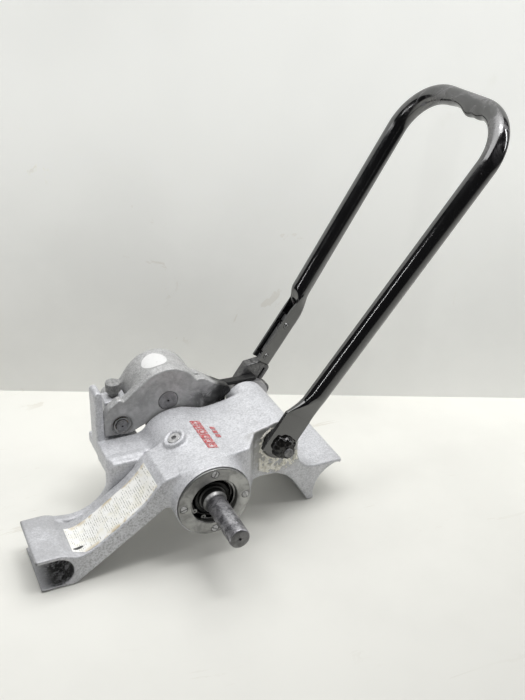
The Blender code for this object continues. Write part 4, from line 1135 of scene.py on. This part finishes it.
def build_feed(oxide, steel, enamel, grease):
    axis = along_y(*FEED_AXIS)
    spin("feed_spindle", [(0, 208), (5.2, 208)] + threaded(6.0, 195.6, 207.4) + [
        (6, 195), (8.5, 195), (8.5, 165), (10, 164.6), (10, 44.2), (8.5, 43.6), (8.5, 37.8)]
        + threaded(6.0, 25.2, 37.2) + [(5.0, 24.2), (4.6, 24), (0, 24)], axis, oxide, FEED, ("feed_shaft",),
        sides=64, sharp=28.0)
    nut("near_hex_nut", 19, 6.2, 27.5, 37.0, axis, grease, FEED, "near_nut", OXIDE_SLOT)
    nut("far_hex_nut", 19, 6.2, 198, 206, axis, oxide, FEED, "far_nut")
    nut("drive_hex_nut", 30, 9.75, 199, 209, along_y(), steel, DRIVE, "drive_nut")
    spin("far_plain_washer", ring_profile(6.4, 15, 195.4, 197.6, 0.4), axis, oxide, FEED, ("far_washer",),
         closed=True)
    spin("drive_plain_washer", ring_profile(9.9, 19, 196.4, 198.6, 0.4), along_y(), steel, DRIVE,
         ("drive_washer",), closed=True)
    spin("handle_hub", rounded([
        (HUB_RADIUS, 54.3, 0.5), (HUB_RADIUS, 49.6, 1.4), (16.2, 47.2, 1.0), (16.2, 44.0, 0.4),
        (10.3, 44.0, 0.2), (10.3, 54.3, 0.2)], 3), axis, enamel, FEED, ("hub_spacer",), sides=96, closed=True)
    ear = handle_point(21.0, 0.0, -30.0)
    spin("stop_pin_round", [
        (0, 199), (3.2, 199), (4, 198.2), (4, 179.2), (3.2, 178.4), (0, 178.4)], along_y(ear[0], ear[2]), steel,
        FEED, ("stop_pin",), sides=40, slot=OXIDE_SLOT)
    low, high = CHANNEL_Y - CHANNEL_HALF, CHANNEL_Y + CHANNEL_HALF
    head = [(0.0, 1.45), (1.7, 1.4), (2.5, 0.75), (3.1, 0.75), (4.1, 0.7), (4.5, 0.1), (4.3, -0.2)]
    for number, (s, w) in enumerate(RIVETS, 1):
        spot = handle_point(s, 0.0, w)
        far_side = [(r, high + h) for r, h in head]
        near_side = [(r, low - h) for r, h in reversed(head)]
        spin("blind_rivet_%d" % number, far_side + [(2.9, high - 0.3), (2.9, low + 0.3)] + near_side,
             along_y(spot[0], spot[2]), enamel, FEED, ("handle_rivet_%d" % number,), sides=32, slot=OXIDE_SLOT)


def build_grease(material, housing):
    """Cream grease squeezed out round the hub and dried in crusts down the foot's front face."""
    block = Block((82, 52.5, -34), (156, 57.5, 50), 0.8)
    fx, fz = FEED_AXIS
    reach = np.hypot(block.x - fx, block.z - fz)
    draper = Draper(housing)
    crust = np.zeros((block.x.size, 1, block.z.size), dtype=np.float32)
    face = np.full_like(crust, 62.0)
    for i, x in enumerate(block.x[:, 0, 0]):
        for k, z in enumerate(block.z[0, 0, :]):
            crust[i, 0, k] = noise.fractal(Vector((x / 6.5, z / 6.5, 4.2)), 0.6, 2.1, 5)
            hit = draper.touch((x, 30.0, z), (0, 1, 0))
            if hit and abs(hit.y - FOOT_FACE_Y) < 2.0:
                face[i, 0, k] = hit.y
    for axis in (0, 2):
        face = np.maximum(face, np.maximum(np.roll(face, 1, axis), np.roll(face, -1, axis)))
    low_side = np.clip((fz - 4.0 - block.z - 0.5 * np.maximum(block.x - fx, 0.0)) / 8.0, 0.0, 1.0)
    near_hub = 1.0 - np.clip((reach - HUB_RADIUS - 2.0) / 5.0, 0.0, 1.0)
    rim = 1.0 - np.clip(np.abs(reach - 40.0 - 3.0 * np.sin(block.x * 0.3)) / 6.0, 0.0, 1.0)
    left_side = np.clip((fx - block.x) / 12.0, 0.0, 1.0)
    share = np.maximum(near_hub * np.maximum(low_side, 0.8 * left_side), low_side * (0.42 + 0.4 * rim))
    height = 2.8 * (crust + share * 1.5 - 0.66)
    body = np.maximum((face - height) - block.y, block.y - face - 1.2)
    body = np.maximum(body, np.maximum(reach - 47.0, HUB_RADIUS + 0.7 - reach))
    vertices, faces = skin(block, body.astype(np.float32), relax=1)
    add("hub_grease", vertices, faces, material, HOUSING, sharp=0.0)


def build_black_grease(material):
    """Black grease heaped over the upper side of the near nut, on the handle's strip."""
    block = Block((88, 24, 6), (130, 40, 50), 0.7)
    fx, fz = FEED_AXIS
    across, up = block.x - (fx - 2.5), block.z - (fz + 3.5)
    angle = np.arctan2(up, across)
    edge = 16.0 + 1.1 * np.sin(angle * 3 + 1.0) + 0.8 * np.sin(angle * 7 + 0.4) + 0.5 * np.sin(angle * 11)
    share = np.clip(1.0 - (np.hypot(across, up) / edge) ** 2, 0.0, 1.0)
    lumps = (0.5 * np.sin(block.x * 0.5 + 1.0) * np.sin(block.z * 0.6)
             + 0.15 * np.sin(block.x * 1.3) * np.sin(block.z * 1.5))
    top = 38.2 - 11.5 * np.sqrt(share) - lumps * np.clip(share * 3.0, 0.0, 1.0)
    body = np.maximum(top - block.y, block.y - 38.6)
    body = np.maximum(body, 6.4 - np.hypot(block.x - fx - 3.0, block.z - fz + 3.0))
    vertices, faces = skin(block, body.astype(np.float32), relax=2)
    add("nut_grease", vertices, faces, material, FEED, sharp=0.0)


def build_depth(steel):
    spin("depth_spindle", [(0, 73), (4.6, 73), (5, 72.6)] + threaded(5.0, 47.0, 66.0) + [(4.2, 46), (0, 46)],
         upright(*DEPTH_AXIS), steel, SPINDLE, ("depth_screw",), sides=48)

    def straight_knurl(radius, height, angle):
        if radius < 9.9 or height < 71.0 or height > 81.2:
            return radius
        return radius - 0.45 * (0.5 + 0.5 * math.cos(angle * 44))
    side = [(10.0, z) for z in np.linspace(81.6, 70.6, 10)]
    spin("knurled_depth_knob", [
        (0, 81.9), (5.6, 81.9), (6.2, 82.4), (9.0, 82.5), (9.6, 82.2)] + side + [
            (9.5, 70.0), (7.9, 69.7), (7.6, 69.3), (7.6, 66.9), (7.2, 66.5), (5.3, 66.5), (5.3, 73.3), (0, 73.3)],
        upright(*DEPTH_AXIS), steel, KNOB, ("depth_knob",), sides=264, warp=straight_knurl, sharp=30.0)


def build_plug(steel):
    lean = Matrix.Translation((0, PLUG_Y, 0)) @ Matrix.Rotation(-PLUG_ANGLE, 4, "Y")
    profile = [(0, 53.6), (7.3, 53.6), (8.1, 52.9), (8.1, 52.2)] + threaded(7.9, 42.6, 51.6) + [(6.8, 42), (0, 42)]
    plug = spin("filling_plug", profile, lean, steel, HOUSING, ("grease_plug",), sides=48)
    hexagon = arc((0, 0), 6.6 / math.sqrt(3.0), 0, 300, 5)
    tool = slab("socket_tool", hexagon, 51.4, 60.0, lean, steel, HOUSING, edge=0.01)
    carve_mesh(plug, tool)


# ---------------------------------------------------------------- marks laid on the castings

class Draper:
    """Lays thin patches on a finished casting by looking down on it."""

    def __init__(self, obj):
        self.tree = BVHTree.FromObject(obj, bpy.context.evaluated_depsgraph_get())

    def touch(self, start, direction=DOWN):
        """Layout point where a ray meets the casting."""
        hit = self.tree.ray_cast(place(*start), Vector(direction))[0]
        return layout(hit) if hit else None

    def sheet(self, name, starts, faces, border, lift, thick, material, body, heights=None):
        """A closed thin sheet below its starting points, from its upper faces and its border."""
        lower = [self.touch(start) + Vector((0.0, 0.0, lift)) for start in starts]
        upper = [point + Vector((0.0, 0.0, thick * share))
                 for point, share in zip(lower, heights or [1.0] * len(lower))]
        count = len(starts)
        faces = faces + [[count + corner for corner in reversed(face)] for face in faces]
        faces += [[a, b, count + b, count + a] for a, b in zip(border, border[1:] + border[:1])]
        add(name, upper + lower, faces, material, body, sharp=60.0)

    def patch(self, name, grid, *others, **words):
        """A sheet from a grid of starting points."""
        rows, columns = len(grid), len(grid[0])
        corners = [i * columns + j for i in range(rows - 1) for j in range(columns - 1)]
        faces = [[a, a + 1, a + 1 + columns, a + columns] for a in corners]
        last = (rows - 1) * columns
        border = (list(range(columns)) + list(range(2 * columns - 1, last + columns, columns))
                  + list(range(last + columns - 2, last - 1, -1)) + list(range(last - columns, 0, -columns)))
        self.sheet(name, sum(grid, []), faces, border, *others, **words)

    def disc(self, name, centre, radius, *others, rings=8, sides=48):
        """A round sheet."""
        starts = [(centre[0] + 0.02, centre[1], 130.0)]
        for ring in range(1, rings + 1):
            reach = radius * ring / rings
            for step in range(sides):
                angle = 2 * math.pi * step / sides
                starts.append((centre[0] + reach * math.cos(angle), centre[1] + reach * math.sin(angle), 130.0))
        turn = [(1 + step, 1 + (step + 1) % sides) for step in range(sides)]
        faces = [[0, a, b] for a, b in turn]
        for start in range(0, (rings - 1) * sides, sides):
            faces += [[start + a, start + sides + a, start + sides + b, start + b] for a, b in turn]
        self.sheet(name, starts, faces, [(rings - 1) * sides + a for a, _ in turn], *others)


def build_marks(housing, arm, sticker):
    red = red_finish()
    draper = Draper(housing)
    above, grain = 75.0, 0.7

    def raised(name, x0, x1, y0, y1, window):
        """A plain raised block with an oblong window, following the casting below it."""
        columns, rows = max(int((x1 - x0) / grain), 6), max(int((y1 - y0) / grain), 6)
        grid, heights = [], []
        for v in (i / rows for i in range(rows + 1)):
            across = [j / columns for j in range(columns + 1)]
            grid.append([(x0 + (x1 - x0) * u, y0 + (y1 - y0) * v, above) for u in across])
            heights += [0.25 if 0 < window < u < 1 - window and 0.34 < v < 0.66 else 1.0 for u in across]
        draper.patch(name, grid, -0.5, 1.15, red, HOUSING, heights=heights)

    # Plain blocks stand where the casting carries raised marks.
    for number in range(6):
        start = 42.0 + 10.9 * number
        raised("raised_block_%d" % (number + 1), 8.6, 21.8, start, start + 9.4, 0.28 if number % 2 else 0.36)
    for number in range(3):
        start = 67.0 + 9.4 * number
        raised("raised_dash_%d" % (number + 1), 30.0, 36.0, start, start + 6.4, 0.0)

    grid = []
    for v in np.linspace(0, 1, 48):
        near, far = 24.5 + 0.48 * math.sin(v * 9.0), 75.5
        if v < 0.12:
            near += 7.0 * (1 - v / 0.12) ** 0.6     # the torn corner
        grid.append([(-167.0 + v * 104.0, near + (far - near) * u, above) for u in np.linspace(0, 1, 20)])
    draper.patch("instruction_label", grid, 0.05, 0.28, label_finish(), HOUSING)
    Draper(arm).disc("round_sticker", (-11.5, 178.5), 16.5, 0.05, 0.25, sticker, ARM)


# ---------------------------------------------------------------- nodes kept as they are

def dress_inner_nodes(finishes):
    """Gives each CAD node that still shows its own procedural finish and broken edges."""
    kept = {
        "steel": ("rear_bearing_outer_ring", "rear_bearing_inner_ring", "drive_key"),
        "cage": ("rear_bearing_cage",),
        "oxide": ("rear_circlip", "feed_cam"),
        "bronze": ("roll_bushing", "arm_bushing_front", "arm_bushing_rear", "feed_bushing_near",
                   "feed_bushing_far"),
    }
    for finish, names in kept.items():
        for name in names:
            node = frame["nodes"][name]
            node.data.materials.clear()
            node.data.materials.append(finishes[finish])
            for polygon in node.data.polygons:
                polygon.material_index = 0
            bevel = node.modifiers.new("broken_edges", "BEVEL")
            bevel.width = 0.25 * MM
            bevel.segments = 2
            bevel.limit_method = "ANGLE"
            bevel.angle_limit = math.radians(40)


# ---------------------------------------------------------------- stage, light and camera

def sheet(name, corners, colour, rough, painted_shade_falloff=False):
    """A flat stage sheet, clouded and scratched; it can be painted darker towards the camera as painted shade."""
    mesh = bpy.data.meshes.new(name)
    mesh.from_pydata(corners, [], [(0, 1, 2, 3)])
    obj = bpy.data.objects.new(name, mesh)
    bpy.context.scene.collection.objects.link(obj)
    m = Finish(name + "_paint", colour, rough)
    m.tones(m.noise(220.0, 5.0, 0.6), 0.35, 0.7, colour, tuple(0.94 * part for part in colour))
    scratch = m.ramp(m.noise(70.0, 6.0, 0.7, (0.5, 2.2, 1.0), bend=1.2), 0.635, 0.66)
    m.lay(scratch * m.ramp(m.noise(160.0, 2.0), 0.42, 0.6), 0.22, (0.42, 0.36, 0.26))
    if painted_shade_falloff:
        # Painted shade: the bench is painted darker towards the camera, as if the light fell off.
        front = m.ramp(m.along(1), 180.0, -480.0, 0.0, 0.72)
        m.lay(front, 1, tuple(0.62 * part for part in colour))
    mesh.materials.append(m.done())
    return m


def see_through(m, share):
    """Makes a share of a finish clear."""
    shown = Value(m, m.shader.outputs[0])
    blend = m.node("MixShader", 0, {0: share, 1: shown, 2: m.node("BsdfTransparent", 0)})
    m.link(blend, m.tree.nodes["Material Output"].inputs["Surface"])


def build_world():
    """A pale room to the camera; matt surfaces get more fill than glossy ones, so the enamel stays black."""
    world = bpy.data.worlds.new("studio")
    bpy.context.scene.world = world
    world.use_nodes = True
    w = Nodes(world.node_tree)
    dim = w.tree.nodes["Background"]
    dim.inputs["Color"].default_value = (1.0, 1.0, 1.0, 1.0)
    pale = w.node("Background", 0, {"Color": (0.80, 0.80, 0.78, 1.0), "Strength": 0.92})
    to_camera = w.node("LightPath", "Is Camera Ray")
    room = w.node("MixShader", 0, {0: to_camera, 1: Value(w, dim.outputs[0]), 2: pale})
    w.link(w.node("LightPath", "Is Diffuse Ray") * 0.33 + 0.03, dim.inputs["Strength"])
    w.link(room, w.tree.nodes["World Output"].inputs["Surface"])
    bpy.context.scene.view_settings.view_transform = "Standard"


def build_stage():
    """Pale bench and a one-sided wall behind it, lit by a large softbox, a wall light and two thin strips."""
    floor = BASE_Z - 0.4
    half = 4000
    corners = [place(x * half, y * half, floor) for x, y in ((-1, -1), (1, -1), (1, 1), (-1, 1))]
    bench = sheet("bench_top", corners, (0.76, 0.755, 0.71), 0.5, True)
    left, right = place(-235, 529, floor), place(725, 102, floor)
    up = Vector((0, 0, 1.1))
    wall = sheet("back_wall", [left, right, right + up, left + up], (0.80, 0.80, 0.775), 0.6)
    # The wall glows, brighter towards its top and its right end: painted light, not a lamp.
    wall_painted_glow = (wall.ramp(wall.along(2), -60.0, 420.0, 0.02, 0.27)
            + wall.ramp(wall.along(0), -100.0, 500.0, 0.0, 0.10))
    wall.shader.inputs["Emission Color"].default_value = (0.98, 1.0, 0.97, 1.0)
    wall.link(wall_painted_glow, wall.shader.inputs["Emission Strength"])
    # Seen from behind, the wall is clear, so that it never hides the object; it casts no shadow either.
    see_through(wall, wall.node("NewGeometry", "Backfacing"))
    bpy.data.objects["back_wall"].visible_shadow = False
    # Far from the object the bench fades into the pale room.
    middle = layout((0, 0, 0))
    far = bench.hypot(bench.along(0, x=middle.x), bench.along(1, y=middle.y))
    see_through(bench, bench.ramp(far, 850.0, 1900.0))
    build_world()

    for name, spot, aim, size, power in (
            ("top_softbox", (0.05, 0.28, 1.75), (0.05, 0.05, 0.0), (2.3, 1.3), 27.5),
            ("wall_wash", (0.45, -0.3, 2.4), (0.75, 0.22, 0.8), (0.8, 0.4), 12.0),
            ("right_strip", (1.5, -0.5, 1.0), (0.1, 0.0, 0.3), (0.10, 1.2), 5.0),
            ("left_strip", (-1.5, -0.2, 0.95), (0.0, 0.0, 0.3), (0.05, 0.8), 2.0)):
        light = bpy.data.lights.new(name, "AREA")
        light.shape = "RECTANGLE"
        light.size, light.size_y = size
        light.energy = power
        obj = bpy.data.objects.new(name, light)
        obj.location = spot
        obj.rotation_euler = (Vector(aim) - Vector(spot)).to_track_quat("-Z", "Y").to_euler()
        bpy.context.scene.collection.objects.link(obj)


def build_camera():
    """Camera above the free end of the shaft, a little to the hook's side, rolled two degrees."""
    azimuth, elevation, roll = math.radians(-26.15), math.radians(28.52), math.radians(1.96)
    back = Vector((math.sin(azimuth) * math.cos(elevation), -math.cos(azimuth) * math.cos(elevation),
                   math.sin(elevation)))
    level = (-back).cross(Vector((0, 0, 1))).normalized()
    up = level.cross(-back)
    right = level * math.cos(roll) + up * math.sin(roll)
    top = up * math.cos(roll) - level * math.sin(roll)
    lens = bpy.data.cameras.new("view")
    lens.sensor_fit = "VERTICAL"
    lens.sensor_height = 36.0
    lens.lens = 46.715
    lens.clip_start, lens.clip_end = 0.05, 20.0
    camera = bpy.data.objects.new("view", lens)
    matrix = Matrix((right, top, back)).transposed().to_4x4()
    matrix.translation = place(-335.3, -796.8, 676.9)
    camera.matrix_world = matrix
    bpy.context.scene.collection.objects.link(camera)
    bpy.context.scene.camera = camera


# ---------------------------------------------------------------- assembly

def build_all():
    finishes = {
        "steel": turned_steel("machined_steel", (0.42, 0.42, 0.412), (0.26, 0.26, 0.256), 0.4),
        "oxide": oxide_finish(),
        # The front bearing's rings and balls use a near-black copy of the turned steel: painted shade for the bore
        # they sit in.
        "races_in_painted_shade": turned_steel("bearing_steel", (0.035, 0.035, 0.034), grey(0.012), 0.34),
        "pale": plated_steel("pale_plated_steel", grey(0.62), grey(0.38)),
        "dull": plated_steel("dull_plated_steel", (0.38, 0.38, 0.375), grey(0.22)),
        "bronze": film_finish("bronze", ((0.5, 0.34, 0.15), 0.4, 1.0), (3.0, 4.0, 0.6),
                              (0.35, 0.7, (0.56, 0.38, 0.17), (0.24, 0.15, 0.07)), (0.05, 0.4), (0.3, 0.5)),
        "cage": film_finish("bearing_cage", (grey(0.05), 0.35, 0.5), (5.0, 4.0, 0.6),
                            (0.35, 0.7, grey(0.02), (0.13, 0.125, 0.12)), (0.15, 0.5), (0.22, 0.5)),
        "enamel": enamel_finish(),
        "forged": forged_finish(),
    }
    black_grease = film_finish("black_grease", (grey(0.006), 0.2), (3.0, 3.0, 0.6),
                               (0.4, 0.7, grey(0.004), (0.018, 0.017, 0.015)), (0.15, 0.3), (0.1, 0.24))
    old_grease = film_finish("old_grease", ((0.72, 0.68, 0.56), 0.38, 0.0, {"Coat Weight": 0.2}),
                             (2.5, 3.0, 0.6),
                             (0.35, 0.68, (0.93, 0.915, 0.84), (0.74, 0.71, 0.60)), (0.5, 0.6), (0.3, 0.5))
    sticker = film_finish("white_sticker", ((0.86, 0.86, 0.85), 0.4), (5.0, 4.0, 0.65),
                          (0.55, 0.75, (0.66, 0.66, 0.655), (0.55, 0.55, 0.54)), (0.04, 0.4), (0.35, 0.5))
    housing = build_housing()
    arm = build_arm()
    build_handle(finishes["enamel"])
    build_bracket(finishes["forged"])
    build_flange(finishes["steel"], finishes["pale"])
    build_front_bearing(finishes["races_in_painted_shade"], finishes["cage"], finishes["steel"])
    build_shaft(shaft_finish())
    build_rolls(finishes["oxide"])
    build_pins(finishes["oxide"], finishes["steel"])
    build_feed(finishes["oxide"], finishes["steel"], finishes["enamel"], black_grease)
    build_black_grease(black_grease)
    build_grease(old_grease, housing)
    build_depth(finishes["dull"])
    build_plug(finishes["pale"])
    build_marks(housing, arm, sticker)
    dress_inner_nodes(finishes)


build_all()
build_stage()
build_camera()
